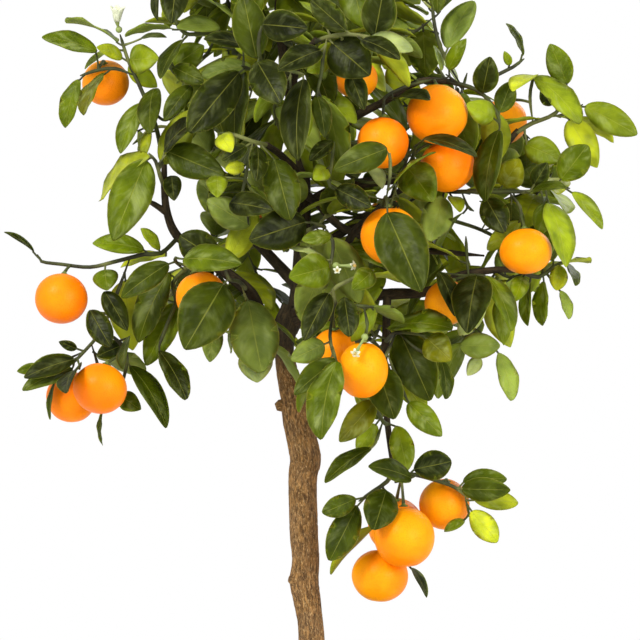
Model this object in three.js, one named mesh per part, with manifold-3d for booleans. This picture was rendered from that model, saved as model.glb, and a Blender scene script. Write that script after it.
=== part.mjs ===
// A small orange tree trained as a standard, in a round pot of soil. Millimetres, +Z up,
// the origin at the middle of the pot's flat base, the front of the crown towards -Y.
import * as THREE from "three";
import { mergeVertices } from "three/addons/utils/BufferGeometryUtils.js";
import Module from "manifold-3d";

const wasm = await Module();
wasm.setup();

// Driving dimensions
const POT_HEIGHT = 122;
const POT_RIM_RADIUS = 119;
const POT_BASE_RADIUS = 84;
const POT_WALL = 7;
const POT_FLOOR = 9;
const POT_SIDES = 24;
const DRAIN_RADIUS = 8;
const DRAIN_RING = 46;
const DRAIN_COUNT = 3;
const SCREEN_RADIUS = 66;
const SCREEN_THICKNESS = 1.4;
const SOIL_TOP = 108;
const GAP = 0.3;
const BLADE_THICKNESS = 0.7;
const BLADE_ARCH = 0.07;
const BLADE_FOLD = 0.16;
const PETIOLE_RADIUS = 0.9;
const ROOT_SUNK = 0.2;
const BLADE_KEEP = 2.2;
const TWIG_SIDES = 3;
const TWIG_THICK = 1.7;
const TWIG_THIN = 1.15;
const SIDE_TWIG_ROOT = 0.5;
const STALK_RADIUS = 1.1;
const STALK_SIDES = 3;
const CALYX_RADIUS = 3.2;
const CALYX_HEIGHT = 1.6;

// Places in the crown were judged from a front view this far off, level with this height,
// so each is opened out or drawn in for its own depth.
const VIEW = { x: 3, z: 439, distance: 2600 };
function place([x, y, z]) {
  const open = 1 + y / VIEW.distance;
  return new THREE.Vector3(VIEW.x + (x - VIEW.x) * open, y, VIEW.z + (z - VIEW.z) * open);
}

function solid(geometry) {
  geometry.deleteAttribute("normal");
  geometry.deleteAttribute("uv");
  const merged = mergeVertices(geometry, 1e-4);
  return new wasm.Manifold(
    new wasm.Mesh({
      numProp: 3,
      vertProperties: merged.attributes.position.array,
      triVerts: new Uint32Array(merged.index.array),
    }),
  );
}

function join(solids) {
  return solids.reduce((whole, next) => whole.add(next));
}

// The largest body of a solid, without the scraps that a cut leaves.
function mainBody(whole) {
  const bodies = whole.decompose();
  return bodies.reduce((best, body) => (body.volume() > best.volume() ? body : best));
}

const tree = new THREE.Group();
function addPiece(name, whole, { color, roughness, metalness = 0 }) {
  const mesh = whole.getMesh();
  const geometry = new THREE.BufferGeometry()
    .setAttribute("position", new THREE.BufferAttribute(mesh.vertProperties, 3))
    .setIndex(new THREE.BufferAttribute(mesh.triVerts, 1));
  geometry.computeVertexNormals();
  const material = new THREE.MeshStandardMaterial({ color, roughness, metalness });
  const piece = new THREE.Mesh(geometry, material);
  piece.name = name;
  tree.add(piece);
}

// A branch is a line of stations, each a place and a radius; its solid is closed at both ends.
function limbLine(rows) {
  return rows.map((row) => ({ at: place(row), radius: row[3] }));
}

function branchSolid(spots, sides, extra = 0) {
  const steps = spots.length - 1;
  const geometry = new THREE.CylinderGeometry(1, 1, 1, sides, steps);
  const across = new THREE.Vector3(1, 0, 0);
  const frames = spots.map((spot, i) => {
    const tangent = new THREE.Vector3()
      .subVectors(spots[Math.min(i + 1, steps)].at, spots[Math.max(i - 1, 0)].at)
      .normalize();
    if (Math.abs(across.dot(tangent)) > 0.95) across.set(0, 1, 0);
    across.addScaledVector(tangent, -across.dot(tangent)).normalize();
    return { first: across.clone(), second: new THREE.Vector3().crossVectors(tangent, across) };
  });
  const position = geometry.attributes.position;
  const point = new THREE.Vector3();
  for (let v = 0; v < position.count; v++) {
    const i = Math.round((position.getY(v) + 0.5) * steps);
    const radius = spots[i].radius + extra;
    point
      .copy(spots[i].at)
      .addScaledVector(frames[i].first, position.getZ(v) * radius)
      .addScaledVector(frames[i].second, position.getX(v) * radius);
    position.setXYZ(v, point.x, point.y, point.z);
  }
  return solid(geometry);
}

// Trunk, surface roots and limbs: stations [x, y, z, radius]
const TRUNK = [
  [2, 0, 62, 7], [1, 0, 104, 15], [0, 0, 122, 11.5], [-1, 0, 160, 9.8], [-3, 0, 215, 9.1],
  [-4, 0, 229, 9.1], [-6, 0, 243, 9.8], [-8, 0, 257, 10.3], [-7, 0, 271, 9.8], [-8.5, 0, 292, 10.1],
  [-9, 0, 327, 10], [-7, 0, 341, 10.8], [-9.5, 0, 355, 10.6], [-12, 0, 369, 11.3],
  [-12.6, 0, 381, 12.6], [-16, 0, 390, 9.8], [-19, 0, 398, 7.8], [-22, 0, 418, 7],
  [-21, 0, 434, 8.4], [-17, 2, 448, 7],
];
const KNOBS = [
  [[-14, 0, 380, 5], [-25, -2, 379, 4.4], [-28, -2, 378, 2.6]],
  [[-10, 0, 383, 5], [-1, -3, 382, 4], [2, -4, 382, 2.2]],
  [[-9, 0, 255, 6], [-15, -4, 257, 5], [-18.6, -5, 258, 2.4]],
];
const ROOTS = [
  [[0, 0, 106, 9], [-22, -10, 104, 6], [-46, -18, 92, 3.6]],
  [[0, 0, 106, 9], [20, -16, 104, 6.4], [42, -34, 90, 3.6]],
  [[0, 0, 106, 8], [14, 20, 103, 5.6], [26, 44, 90, 3.2]],
  [[0, 0, 104, 8], [-14, 20, 101, 5], [-34, 38, 86, 3]],
];
const LIMBS = {
  left: [[-23, 0, 424, 6.4], [-38, -8, 442, 5.2], [-46, -14, 458, 4.6], [-64, -20, 473, 4.1],
    [-80, -25, 485, 3.6], [-97, -30, 498, 3.2], [-104, -34, 514, 2.8], [-106, -38, 532, 2.4],
    [-106, -41, 548, 2]],
  left_spur: [[-104, -34, 514, 2.6], [-113, -36, 520, 2], [-121, -36, 524, 1.6]],
  leader: [[-20, 0, 432, 7.6], [-12, 4, 453, 6.8], [-9, 5, 509, 5.5], [-9, 5, 547, 4.8],
    [-13, 6, 565, 4.3], [-20, 7, 610, 3.6], [-26, 6, 650, 3], [-24, 4, 688, 2]],
  right_low: [[-18, 0, 438, 6], [17, -15, 453, 4.6], [50, -28, 457, 4], [73, -34, 458, 3.5],
    [87, -38, 462, 3.1], [101, -42, 470, 2.8], [125, -45, 474, 2.4], [143, -45, 474, 2]],
  brown: [[17, -15, 453, 3.6], [19, -20, 474, 3.2], [25, -32, 498, 2.8], [39, -50, 512, 2.4],
    [48, -70, 520, 2]],
  upper_right: [[-9, 5, 547, 3.8], [13, -8, 566, 3.2], [24, -18, 579, 3], [48, -30, 592, 2.6],
    [73, -38, 606, 2.2], [95, -42, 606, 2]],
  right_upper: [[-9, 5, 518, 4.2], [17, 2, 532, 3.8], [59, -8, 538, 3.4], [94, -20, 545, 3],
    [129, -26, 560, 2.5], [142, -28, 572, 2]],
  right_mid: [[-9, 5, 528, 3.4], [1, -5, 521, 3.1], [20, -14, 503, 2.8], [60, -22, 490, 2.4],
    [95, -26, 486, 2], [118, -30, 484, 1.7]],
  hanging: [[50, -28, 457, 3], [49, -40, 425, 2.7], [47, -48, 400, 2.5], [50, -52, 369, 2.2],
    [53, -56, 345, 2], [57, -58, 325, 1.7]],
  back_left: [[-12, 4, 462, 4.5], [-35, 35, 487, 3.8], [-60, 70, 515, 3], [-75, 100, 545, 2.2]],
  back_right: [[-9, 5, 482, 4.5], [20, 40, 502, 3.8], [55, 75, 525, 3], [80, 105, 555, 2.2]],
  back_top: [[-13, 6, 572, 3.6], [-5, 40, 600, 3], [5, 75, 630, 2.4], [10, 95, 655, 1.8]],
  back_low: [[-15, 2, 447, 4], [-5, 35, 440, 3.4], [15, 70, 435, 2.8], [30, 100, 430, 2]],
  front_top: [[-16, 6, 590, 3.2], [-15, -30, 610, 2.8], [-8, -60, 625, 2.4], [0, -85, 635, 2]],
  front_mid: [[-9, 5, 537, 3.2], [-15, -30, 545, 2.8], [-25, -60, 555, 2.4], [-35, -80, 562, 2]],
  front_low: [[-16, 0, 444, 3.6], [-5, -30, 448, 3], [5, -60, 450, 2.6], [10, -85, 440, 2]],
};
const TRUNK_SIDES = 10;
const LIMB_SIDES = 4;

const trunkLine = limbLine(TRUNK);
const rootLines = ROOTS.map(limbLine);
const limbLines = [...KNOBS, ...Object.values(LIMBS)].map(limbLine);
function woodSolid(extra) {
  return join([
    branchSolid(trunkLine, TRUNK_SIDES, extra),
    ...rootLines.map((line) => branchSolid(line, LIMB_SIDES, extra)),
    ...limbLines.map((line) => branchSolid(line, LIMB_SIDES, extra)),
  ]);
}
const BARK = { color: 0x8c643c, roughness: 0.9 };
addPiece("trunk_and_limbs", woodSolid(0), BARK);
const woodWithGap = woodSolid(GAP);

// Pot: a turned wall with a rolled rim on a flat base, three drainage holes and the grooves
// under the base that lead the water out.
function pot() {
  const foot = POT_BASE_RADIUS;
  const rim = POT_RIM_RADIUS;
  const profile = [
    [0, 0], [foot, 0], [foot + 11, 36], [foot + 23, 82], [rim - 8, POT_HEIGHT - 18],
    [rim, POT_HEIGHT - 14], [rim, POT_HEIGHT - 2], [rim - 2, POT_HEIGHT], [rim - 10, POT_HEIGHT],
    [rim - 8 - POT_WALL, POT_HEIGHT - 18], [foot + 23 - POT_WALL, 82], [foot + 11 - POT_WALL, 36],
    [foot - POT_WALL - 2, POT_FLOOR], [0, POT_FLOOR],
  ].map(([r, z]) => new THREE.Vector2(r, z));
  let body = solid(new THREE.LatheGeometry(profile, POT_SIDES).rotateX(Math.PI / 2));
  for (let i = 0; i < DRAIN_COUNT; i++) {
    const turn = ((i + 0.5) / DRAIN_COUNT) * 2 * Math.PI;
    const hole = new THREE.CylinderGeometry(DRAIN_RADIUS, DRAIN_RADIUS, 4 * POT_FLOOR, 12)
      .rotateX(Math.PI / 2)
      .translate(DRAIN_RING, 0, 0)
      .rotateZ(turn);
    const groove = new THREE.BoxGeometry(POT_BASE_RADIUS, 6, 5)
      .translate(DRAIN_RING + POT_BASE_RADIUS / 2, 0, 0)
      .rotateZ(turn);
    body = body.subtract(solid(hole)).subtract(solid(groove));
  }
  return body;
}
addPiece("pot", pot(), { color: 0x9a5a3c, roughness: 0.85 });

// Drainage screen: a thin round sheet with two slots over each hole
function drainageScreen() {
  const slot = { width: 3, length: 12, pitch: 6 };
  let sheet = solid(
    new THREE.CylinderGeometry(SCREEN_RADIUS, SCREEN_RADIUS, SCREEN_THICKNESS, POT_SIDES)
      .rotateX(Math.PI / 2)
      .translate(0, 0, POT_FLOOR + GAP + SCREEN_THICKNESS / 2),
  );
  for (let i = 0; i < DRAIN_COUNT; i++) {
    const turn = ((i + 0.5) / DRAIN_COUNT) * 2 * Math.PI;
    for (const across of [-slot.pitch / 2, slot.pitch / 2]) {
      const cut = new THREE.BoxGeometry(slot.length, slot.width, 6 * SCREEN_THICKNESS)
        .translate(DRAIN_RING, across, POT_FLOOR)
        .rotateZ(turn);
      sheet = sheet.subtract(solid(cut));
    }
  }
  return sheet;
}
addPiece("drainage_screen", drainageScreen(), { color: 0x222222, roughness: 0.6 });

// Soil: fills the pot to below its rim and rises a little to the stem.
function soil() {
  const foot = POT_BASE_RADIUS - POT_WALL - GAP;
  const bottom = POT_FLOOR + 2 * GAP + SCREEN_THICKNESS;
  const profile = [
    [0, bottom], [foot - 2, bottom], [foot + 11, 36], [foot + 23, 82],
    [POT_RIM_RADIUS - 8 - POT_WALL - 2 * GAP, SOIL_TOP - 5], [70, SOIL_TOP - 1], [0, SOIL_TOP + 3],
  ].map(([r, z]) => new THREE.Vector2(r, z));
  return mainBody(
    solid(new THREE.LatheGeometry(profile, POT_SIDES).rotateX(Math.PI / 2)).subtract(woodWithGap),
  );
}
addPiece("soil", soil(), { color: 0x3a2a1e, roughness: 1 });

// Sprays: the twigs are stations [x, y, z]; the first starts on a limb and the others on a twig
// of the same spray. A leaf is [stalk x, stalk z, tip x, tip z, width, how far its tip comes back];
// a fruit is [x, y, z, radius, height over width]; more is the most leaves set by rule, of which
// those that find no room are left out.
const SPRAYS = {
  top_left: {
    twigs: [
      [[-106, -40, 545], [-112, -36, 575], [-122, -30, 600], [-131, -26, 620], [-137, -30, 639]],
      [[-127, -28, 611], [-140, -30, 615], [-152, -29, 614], [-165, -26, 610]],
    ],
    leaves: [
      [-153, 627, -192, 636, 14, -8], [-134, 622, -153, 630, 10, -18], [-131, 621, -109, 622, 21, -22],
      [-131, 617, -111, 602, 14, -14], [-165, 609, -176, 574, 14, -6], [-147, 613, -163, 584, 11, -30],
      [-141, 629, -162, 615, 5, -20], [-121, 592, -137, 556, 15, -12], [-113, 601, -116, 570, 17, -14],
      [-116, 572, -120, 553, 8, -10], [-125, 572, -123, 556, 5, 14], [-123, 636, -104, 636, 5, -12],
    ],
    fruit: [[-147, -2, 605, 16.5, 0.95]],
    more: 2,
  },
  left_upper: {
    twigs: [
      [[-106, -38, 532], [-109, -50, 540], [-112, -56, 550], [-117, -58, 556]],
    ],
    leaves: [
      [-118, 553, -142, 494, 29, -16], [-116, 554, -153, 524, 16, 24], [-104, 557, -63, 540, 24, -18],
      [-101, 540, -99, 523, 13, -18], [-106, 558, -81, 579, 14, -8],
    ],
    fruit: [],
    more: 2,
  },
  top_left_outer: {
    twigs: [
      [[-24, 5, 640], [-50, -25, 640], [-75, -50, 640], [-92, -58, 640], [-101, -58, 655], [-107, -56, 676]],
      [[-88, -57, 640], [-98, -62, 628], [-102, -64, 616], [-90, -68, 605]],
    ],
    leaves: [
      [-109, 677, -111, 649, 6, -12], [-97, 678, -101, 647, 20, -18], [-66, 644, -97, 644, 13, -16],
      [-92, 638, -108, 607, 11, -14], [-102, 615, -78, 631, 21, -20], [-102, 617, -79, 606, 14, -10],
      [-87, 603, -106, 579, 14, -10],
    ],
    fruit: [],
    more: 3,
  },
  top_left_inner: {
    twigs: [
      [[-19, 6, 602], [-30, -30, 608], [-42, -62, 613], [-52, -84, 617]],
    ],
    leaves: [
      [-50, 631, -78, 636, 11, -16], [-43, 617, -81, 610, 15, -6], [-53, 613, -88, 571, 28, -20],
      [-51, 613, -55, 559, 20, -30], [-46, 596, -52, 565, 7, 6],
    ],
    fruit: [],
    more: 3,
  },
  top_centre_left: {
    twigs: [
      [[-16, -28, 609], [-28, -70, 616], [-38, -100, 620], [-40, -112, 634], [-38, -114, 645]],
      [[-28, -70, 616], [-16, -98, 613], [-8, -110, 611]],
      [[-18, -94, 613], [-18, -100, 596]],
    ],
    leaves: [
      [-41, 620, -51, 667, 24, -10], [-38, 646, -6, 643, 22, -18], [-41, 620, -25, 592, 25, -26],
      [-8, 611, -13, 551, 21, -18], [-18, 593, -16, 558, 14, -2],
    ],
    fruit: [],
    more: 3,
  },
  centre_upper_left: {
    twigs: [
      [[-33, -77, 561], [-44, -92, 564], [-58, -98, 569], [-67, -98, 570]],
      [[-44, -92, 564], [-48, -90, 545], [-52, -88, 524]],
    ],
    leaves: [
      [-67, 570, -59, 557, 14, -22], [-45, 563, -65, 551, 11, -12], [-41, 564, -41, 537, 13, -16],
      [-46, 548, -63, 544, 10, -16], [-29, 552, -18, 510, 25, -24], [-60, 521, -29, 515, 18, -26],
      [-69, 540, -69, 524, 15, -20], [-46, 505, -76, 523, 21, -10],
    ],
    fruit: [],
    more: 3,
  },
  top_centre: {
    twigs: [
      [[-2, -79, 633], [8, -100, 637], [22, -112, 639], [40, -116, 637]],
      [[8, -100, 637], [5, -106, 622], [4, -108, 612], [1, -110, 598]],
      [[16, -108, 638], [27, -94, 628]],
    ],
    leaves: [
      [6, 629, -27, 613, 18, -20], [8, 636, 38, 610, 31, -22], [25, 638, -3, 663, 17, -10],
      [10, 641, -11, 663, 7, 6], [41, 636, 48, 673, 24, -8], [36, 635, 68, 628, 15, -16],
      [32, 635, 59, 622, 13, 4], [1, 596, 6, 566, 13, -8], [6, 618, -6, 613, 10, -24],
      [24, 612, 34, 586, 15, -6],
    ],
    fruit: [[29, -62, 608, 14, 0.97]],
    more: 3,
  },
  top_right: {
    twigs: [
      [[92, -42, 606], [108, -48, 602], [118, -52, 596], [127, -54, 584], [129, -56, 574]],
      [[100, -45, 604], [91, -47, 611]],
      [[110, -49, 601], [128, -48, 611], [138, -46, 616], [146, -44, 622]],
      [[100, -45, 604], [88, -44, 628], [82, -44, 655], [85, -44, 677]],
      [[91, -47, 611], [68, -50, 604], [50, -60, 596], [47, -76, 590]],
    ],
    leaves: [
      [85, 677, 85, 653, 13, -14], [92, 613, 106, 636, 11, -10], [88, 612, 82, 631, 5, -6],
      [116, 595, 122, 623, 18, -16], [137, 615, 132, 627, 6, -10], [146, 622, 134, 647, 6, -8],
      [127, 579, 106, 590, 17, -22], [127, 580, 137, 606, 15, -8], [54, 593, 80, 591, 11, -26],
      [129, 574, 118, 522, 18, -14],
    ],
    fruit: [[85, -66, 583, 21, 0.97], [47, -85, 563, 17.5, 1]],
    more: 4,
  },
  right_outer: {
    twigs: [
      [[140, -28, 570], [152, -30, 577], [163, -32, 581], [172, -32, 588], [177, -32, 601]],
      [[163, -32, 581], [178, -34, 584], [187, -34, 590]],
      [[152, -30, 577], [150, -34, 595], [152, -36, 609]],
    ],
    leaves: [
      [176, 604, 164, 632, 18, -10], [152, 610, 186, 578, 18, -16], [153, 610, 138, 600, 10, -12],
      [186, 590, 225, 569, 20, -6], [176, 582, 197, 545, 21, -10], [168, 590, 158, 601, 14, -20],
      [147, 562, 172, 551, 20, -18],
    ],
    fruit: [[132, 4, 578, 16, 1]],
    more: 1,
  },
  right_middle: {
    twigs: [
      [[80, -16, 542], [90, -32, 530], [111, -46, 529], [135, -50, 529], [150, -48, 529],
        [168, -44, 533], [178, -42, 531]],
      [[135, -50, 529], [143, -52, 518], [144, -55, 508]],
    ],
    leaves: [
      [169, 534, 190, 561, 22, -8], [150, 529, 162, 549, 13, -10], [150, 528, 176, 530, 8, -16],
      [178, 530, 201, 503, 11, -6], [129, 530, 143, 552, 21, -14], [90, 528, 80, 495, 22, -24],
      [95, 526, 101, 515, 10, -16], [118, 526, 132, 501, 20, -14], [143, 508, 120, 488, 14, -10],
      [160, 521, 157, 498, 14, -8], [163, 521, 174, 475, 20, -10],
    ],
    fruit: [[147, -64, 487, 18, 0.87]],
    more: 2,
  },
  right_inner: {
    twigs: [
      [[58, -8, 538], [62, -40, 545], [63, -60, 549]],
      [[62, -40, 545], [68, -50, 553], [70, -66, 562]],
    ],
    leaves: [
      [62, 549, 83, 521, 27, -30], [39, 547, 46, 530, 11, -20], [75, 566, 113, 554, 10, -8],
    ],
    fruit: [[92, -46, 547, 19, 0.95]],
    more: 3,
  },
  right_side: {
    twigs: [
      [[141, -45, 474], [156, -40, 469], [166, -38, 476], [172, -38, 480]],
    ],
    leaves: [
      [171, 480, 169, 460, 13, -8], [173, 480, 183, 464, 6, -4], [171, 460, 178, 440, 8, -6],
      [160, 470, 158, 435, 11, -8], [150, 468, 148, 435, 8, -10], [146, 472, 139, 452, 13, -18],
    ],
    fruit: [],
    more: 1,
  },
  right_lower: {
    twigs: [
      [[100, -42, 469], [112, -54, 470], [121, -60, 468], [127, -62, 455]],
      [[112, -54, 470], [116, -62, 450], [110, -68, 432], [100, -72, 424]],
      [[112, -66, 436], [120, -70, 424], [127, -68, 419]],
    ],
    leaves: [
      [120, 470, 138, 432, 15, -8], [113, 470, 106, 428, 27, -22], [99, 428, 118, 447, 13, -18],
      [101, 421, 129, 421, 18, -18], [127, 453, 131, 421, 13, -6], [127, 419, 138, 383, 14, -8],
      [115, 413, 106, 400, 10, -12], [86, 473, 98, 442, 13, -6],
    ],
    fruit: [[92, -62, 451, 15.5, 1]],
    more: 2,
  },
  low_right_centre: {
    twigs: [
      [[49, -41, 424], [56, -64, 430], [66, -78, 430], [77, -82, 428]],
      [[59, -68, 430], [72, -78, 418], [86, -80, 413]],
      [[56, -64, 430], [50, -70, 416], [44, -74, 408]],
      [[50, -70, 416], [57, -78, 398], [64, -80, 383]],
    ],
    leaves: [
      [76, 428, 95, 410, 21, -18], [50, 433, 95, 435, 14, -22], [59, 430, 80, 383, 31, -26],
      [87, 413, 92, 384, 10, -8], [43, 407, 55, 370, 25, -24], [64, 382, 88, 358, 17, -18],
    ],
    fruit: [],
    more: 3,
  },
  centre_right: {
    twigs: [
      [[47, -68, 519], [49, -90, 525], [50, -112, 521]],
      [[48, -84, 524], [28, -90, 528], [10, -92, 533], [11, -96, 547], [13, -98, 564]],
      [[49, -96, 525], [52, -108, 540], [52, -112, 556]],
    ],
    leaves: [
      [50, 514, 74, 458, 35, -22], [50, 559, 12, 544, 20, -14], [10, 533, 38, 519, 17, -22],
      [10, 547, -2, 537, 13, -18], [13, 565, -4, 551, 11, -14],
    ],
    fruit: [[52, -92, 498, 20, 0.97]],
    more: 3,
  },
  centre: {
    twigs: [
      [[-9, 1, 500], [2, -50, 505], [6, -80, 504], [-4, -92, 508]],
      [[6, -80, 504], [12, -90, 494], [11, -96, 478]],
    ],
    leaves: [
      [-6, 508, -46, 495, 28, -20], [13, 498, -9, 495, 11, -16], [10, 480, -19, 490, 5, -14],
      [10, 476, -18, 469, 24, -22],
    ],
    fruit: [],
    more: 4,
  },
  centre_low: {
    twigs: [
      [[9, -82, 441], [14, -94, 450], [12, -98, 460], [26, -102, 468], [41, -104, 474]],
      [[14, -94, 450], [30, -98, 449], [41, -100, 448]],
      [[12, -91, 447], [10, -98, 428], [13, -98, 412]],
      [[34, -98, 449], [36, -108, 437], [36, -111, 430]],
    ],
    leaves: [
      [11, 461, -8, 425, 18, -20], [20, 455, 24, 428, 17, -22], [41, 447, 25, 424, 13, -12],
      [41, 474, 25, 460, 15, -18], [10, 424, -18, 411, 17, -22], [15, 411, -15, 386, 17, -14],
      [15, 410, 3, 357, 23, -26],
    ],
    fruit: [[33, -100, 404, 17, 1.12], [13, -66, 417, 15.5, 1]],
    more: 3,
  },
  hanging_upper: {
    twigs: [
      [[50, -53, 366], [47, -64, 368], [42, -72, 378]],
      [[47, -64, 368], [43, -72, 356], [41, -74, 351]],
    ],
    leaves: [
      [41, 382, 17, 354, 18, -16], [45, 370, 29, 347, 14, -10], [41, 351, 7, 324, 11, -14],
      [57, 365, 64, 334, 17, -14],
    ],
    fruit: [],
    more: 2,
  },
  hanging_left: {
    twigs: [
      [[55, -57, 335], [50, -66, 326], [40, -70, 319], [30, -70, 312]],
      [[48, -67, 324], [46, -56, 306], [45.5, -47, 284]],
      [[45.7, -49, 288], [55, -34, 276], [66, -32, 268]],
    ],
    leaves: [
      [50, 322, 41, 293, 24, -26], [31, 315, 5, 304, 15, -10], [29, 309, 10, 271, 21, -14],
      [66, 267, 78, 245, 6, -6],
    ],
    fruit: [[45, -44, 260, 19.5, 0.93]],
    more: 1,
  },
  hanging_right: {
    twigs: [
      [[57, -58, 327], [66, -64, 331], [80, -60, 328], [97, -55, 322], [107, -54, 314]],
      [[106, -54, 315], [108, -52, 300]],
    ],
    leaves: [
      [66, 334, 95, 340, 21, -16], [67, 328, 36, 336, 14, -22], [98, 321, 136, 320, 17, -14],
      [103, 326, 134, 328, 13, 2], [110, 313, 142, 311, 14, -4], [106, 309, 127, 284, 17, -8],
      [106, 300, 90, 291, 7, -14],
    ],
    fruit: [[62, -67, 287, 20.8, 1], [90, -36, 310, 17.5, 1], [56, -23, 295, 19.4, 1]],
    more: 1,
  },
  left_middle: {
    twigs: [
      [[-96, -30, 497], [-108, -38, 486], [-120, -38, 485], [-140, -34, 480], [-158, -30, 476],
        [-178, -24, 478], [-192, -24, 480], [-195, -24, 485]],
      [[-130, -36, 483], [-139, -42, 458], [-150, -46, 432], [-162, -46, 417], [-172, -44, 407]],
      [[-161, -46, 418], [-180, -40, 409], [-190, -38, 407]],
      [[-150, -46, 432], [-138, -48, 424], [-132, -50, 412], [-137, -44, 388]],
      [[-158, -46, 422], [-152, -34, 404], [-150, -33, 377]],
    ],
    leaves: [
      [-195, 485, -218, 501, 4, -4], [-118, 488, -156, 493, 14, -10], [-107, 485, -122, 503, 8, -12],
      [-104, 484, -137, 477, 8, -14], [-148, 477, -146, 460, 18, -16], [-148, 459, -132, 431, 15, -10],
      [-158, 446, -144, 421, 17, -14], [-165, 413, -204, 398, 15, -8], [-169, 405, -205, 389, 13, -12],
      [-190, 407, -209, 403, 8, 2], [-165, 418, -180, 424, 7, -6], [-165, 405, -175, 389, 10, -30],
      [-182, 396, -185, 369, 4, -8], [-149, 375, -150, 351, 4, 4], [-137, 386, -122, 376, 14, -12],
      [-132, 410, -104, 364, 14, -10], [-134, 422, -153, 414, 13, -18], [-130, 428, -134, 404, 8, -14],
    ],
    fruit: [[-178, -44, 454, 18.2, 0.95], [-151, -66, 391, 18.5, 0.93], [-171, -29, 385, 17.5, 1]],
    more: 2,
  },
  left_centre_low: {
    twigs: [
      [[-82, -26, 486], [-90, -36, 476], [-100, -44, 465], [-98, -48, 452], [-104, -54, 436],
        [-110, -56, 420]],
      [[-99, -46, 460], [-88, -42, 440], [-73, -46, 434]],
      [[-92, -38, 474], [-98, -62, 480], [-98, -86, 483]],
    ],
    leaves: [
      [-94, 454, -118, 407, 21, -10], [-102, 472, -125, 424, 21, -14], [-101, 480, -136, 454, 18, -10],
      [-110, 418, -90, 384, 15, -8], [-71, 435, -74, 410, 15, -18], [-94, 482, -51, 477, 20, -26],
    ],
    fruit: [[-80, -62, 455, 17.5, 1]],
    more: 2,
  },
  left_centre: {
    twigs: [
      [[-49, -16, 461], [-50, -42, 462], [-54, -62, 466], [-61, -78, 468], [-65, -82, 480]],
      [[-49, -54, 461], [-44, -58, 436], [-43, -60, 422]],
    ],
    leaves: [
      [-63, 467, -92, 418, 38, -16], [-48, 456, -38, 403, 34, -14], [-43, 421, -41, 395, 24, -20],
      [-67, 480, -95, 498, 24, -14],
    ],
    fruit: [],
    more: 2,
  },
  back_left_high: {
    twigs: [
      [[-74, 98, 543], [-90, 115, 572], [-104, 118, 606]],
      [[-90, 115, 572], [-112, 108, 574], [-128, 92, 562]],
      [[-90, 115, 572], [-70, 140, 586]],
    ],
    leaves: [],
    fruit: [[-50, 106, 520, 17.5, 1]],
    more: 10,
  },
  back_left_low: {
    twigs: [
      [[-40, 42, 492], [-76, 66, 480], [-110, 84, 468], [-130, 84, 450]],
      [[-76, 66, 480], [-62, 98, 462], [-54, 112, 438]],
      [[-44, 45, 490], [-52, 70, 500], [-50, 96, 506]],
    ],
    leaves: [],
    fruit: [],
    more: 10,
  },
  back_centre_high: {
    twigs: [
      [[9, 93, 653], [14, 112, 668], [10, 128, 690]],
      [[14, 112, 668], [44, 118, 660], [62, 110, 646]],
      [[12, 104, 662], [-26, 118, 650], [-56, 108, 640]],
      [[12, 104, 662], [10, 132, 634], [2, 150, 606]],
    ],
    leaves: [],
    fruit: [[26, 112, 609, 14.5, 1]],
    more: 11,
  },
  back_centre_low: {
    twigs: [
      [[28, 97, 431], [44, 118, 420], [54, 130, 398]],
      [[36, 108, 426], [14, 132, 440], [-2, 144, 458]],
      [[44, 118, 420], [72, 120, 440], [86, 112, 456]],
    ],
    leaves: [],
    fruit: [[70, 106, 408, 15, 1]],
    more: 10,
  },
  back_right_high: {
    twigs: [
      [[78, 103, 553], [96, 112, 580], [106, 108, 612]],
      [[96, 112, 580], [130, 92, 578], [150, 74, 566]],
      [[88, 108, 566], [70, 138, 560], [56, 150, 540]],
    ],
    leaves: [],
    fruit: [[52, 118, 508, 18, 1]],
    more: 10,
  },
  back_right_low: {
    twigs: [
      [[50, 70, 522], [84, 84, 512], [116, 84, 502], [140, 70, 488]],
      [[84, 84, 512], [96, 104, 490]],
      [[116, 84, 502], [128, 60, 520], [148, 34, 528]],
    ],
    leaves: [],
    fruit: [],
    more: 10,
  },
  crown_top: {
    twigs: [
      [[-24, 4, 686], [-26, 0, 700], [-30, -8, 716]],
      [[-25, 2, 694], [2, -14, 700], [26, -26, 694]],
      [[-25, 2, 694], [-48, 26, 696], [-66, 40, 684]],
      [[-25, 2, 694], [-4, 32, 700], [20, 54, 690]],
    ],
    leaves: [],
    fruit: [],
    more: 12,
  },
};
const FIRST_SEED = 4021;
const SEED_STEP = 97;
const SPOT_SPACING = 4;
const WOOD_MARGIN = 2;

// Seeded draws from 0 to 1, the same on every run
function seeded(seed) {
  let state = seed;
  return () => {
    state = (Math.imul(state, 1664525) + 1013904223) >>> 0;
    return state / 4294967296;
  };
}

// What a blade must keep clear of: groups of balls, each group inside one sphere
const obstacles = [];
function groupOf(balls, owner) {
  const middle = new THREE.Vector3();
  balls.forEach((ball) => middle.addScaledVector(ball.at, 1 / balls.length));
  const reach = Math.max(...balls.map((ball) => ball.at.distanceTo(middle) + ball.radius));
  return { middle, reach, balls, owner };
}
function addObstacle(balls, owner) {
  obstacles.push(groupOf(balls, owner));
}
// A leaf's first stretch may be near its own spray's twigs and leaf stalks.
function isClear(balls, owner) {
  const mine = groupOf(balls, owner);
  return !obstacles.some(
    (group) =>
      group.middle.distanceTo(mine.middle) < group.reach + mine.reach &&
      group.balls.some((theirs) =>
        balls.some(
          (ball) =>
            !(ball.isNear && theirs.isNear && group.owner === owner) &&
            theirs.at.distanceTo(ball.at) < theirs.radius + ball.radius,
        ),
      ),
  );
}

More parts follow.
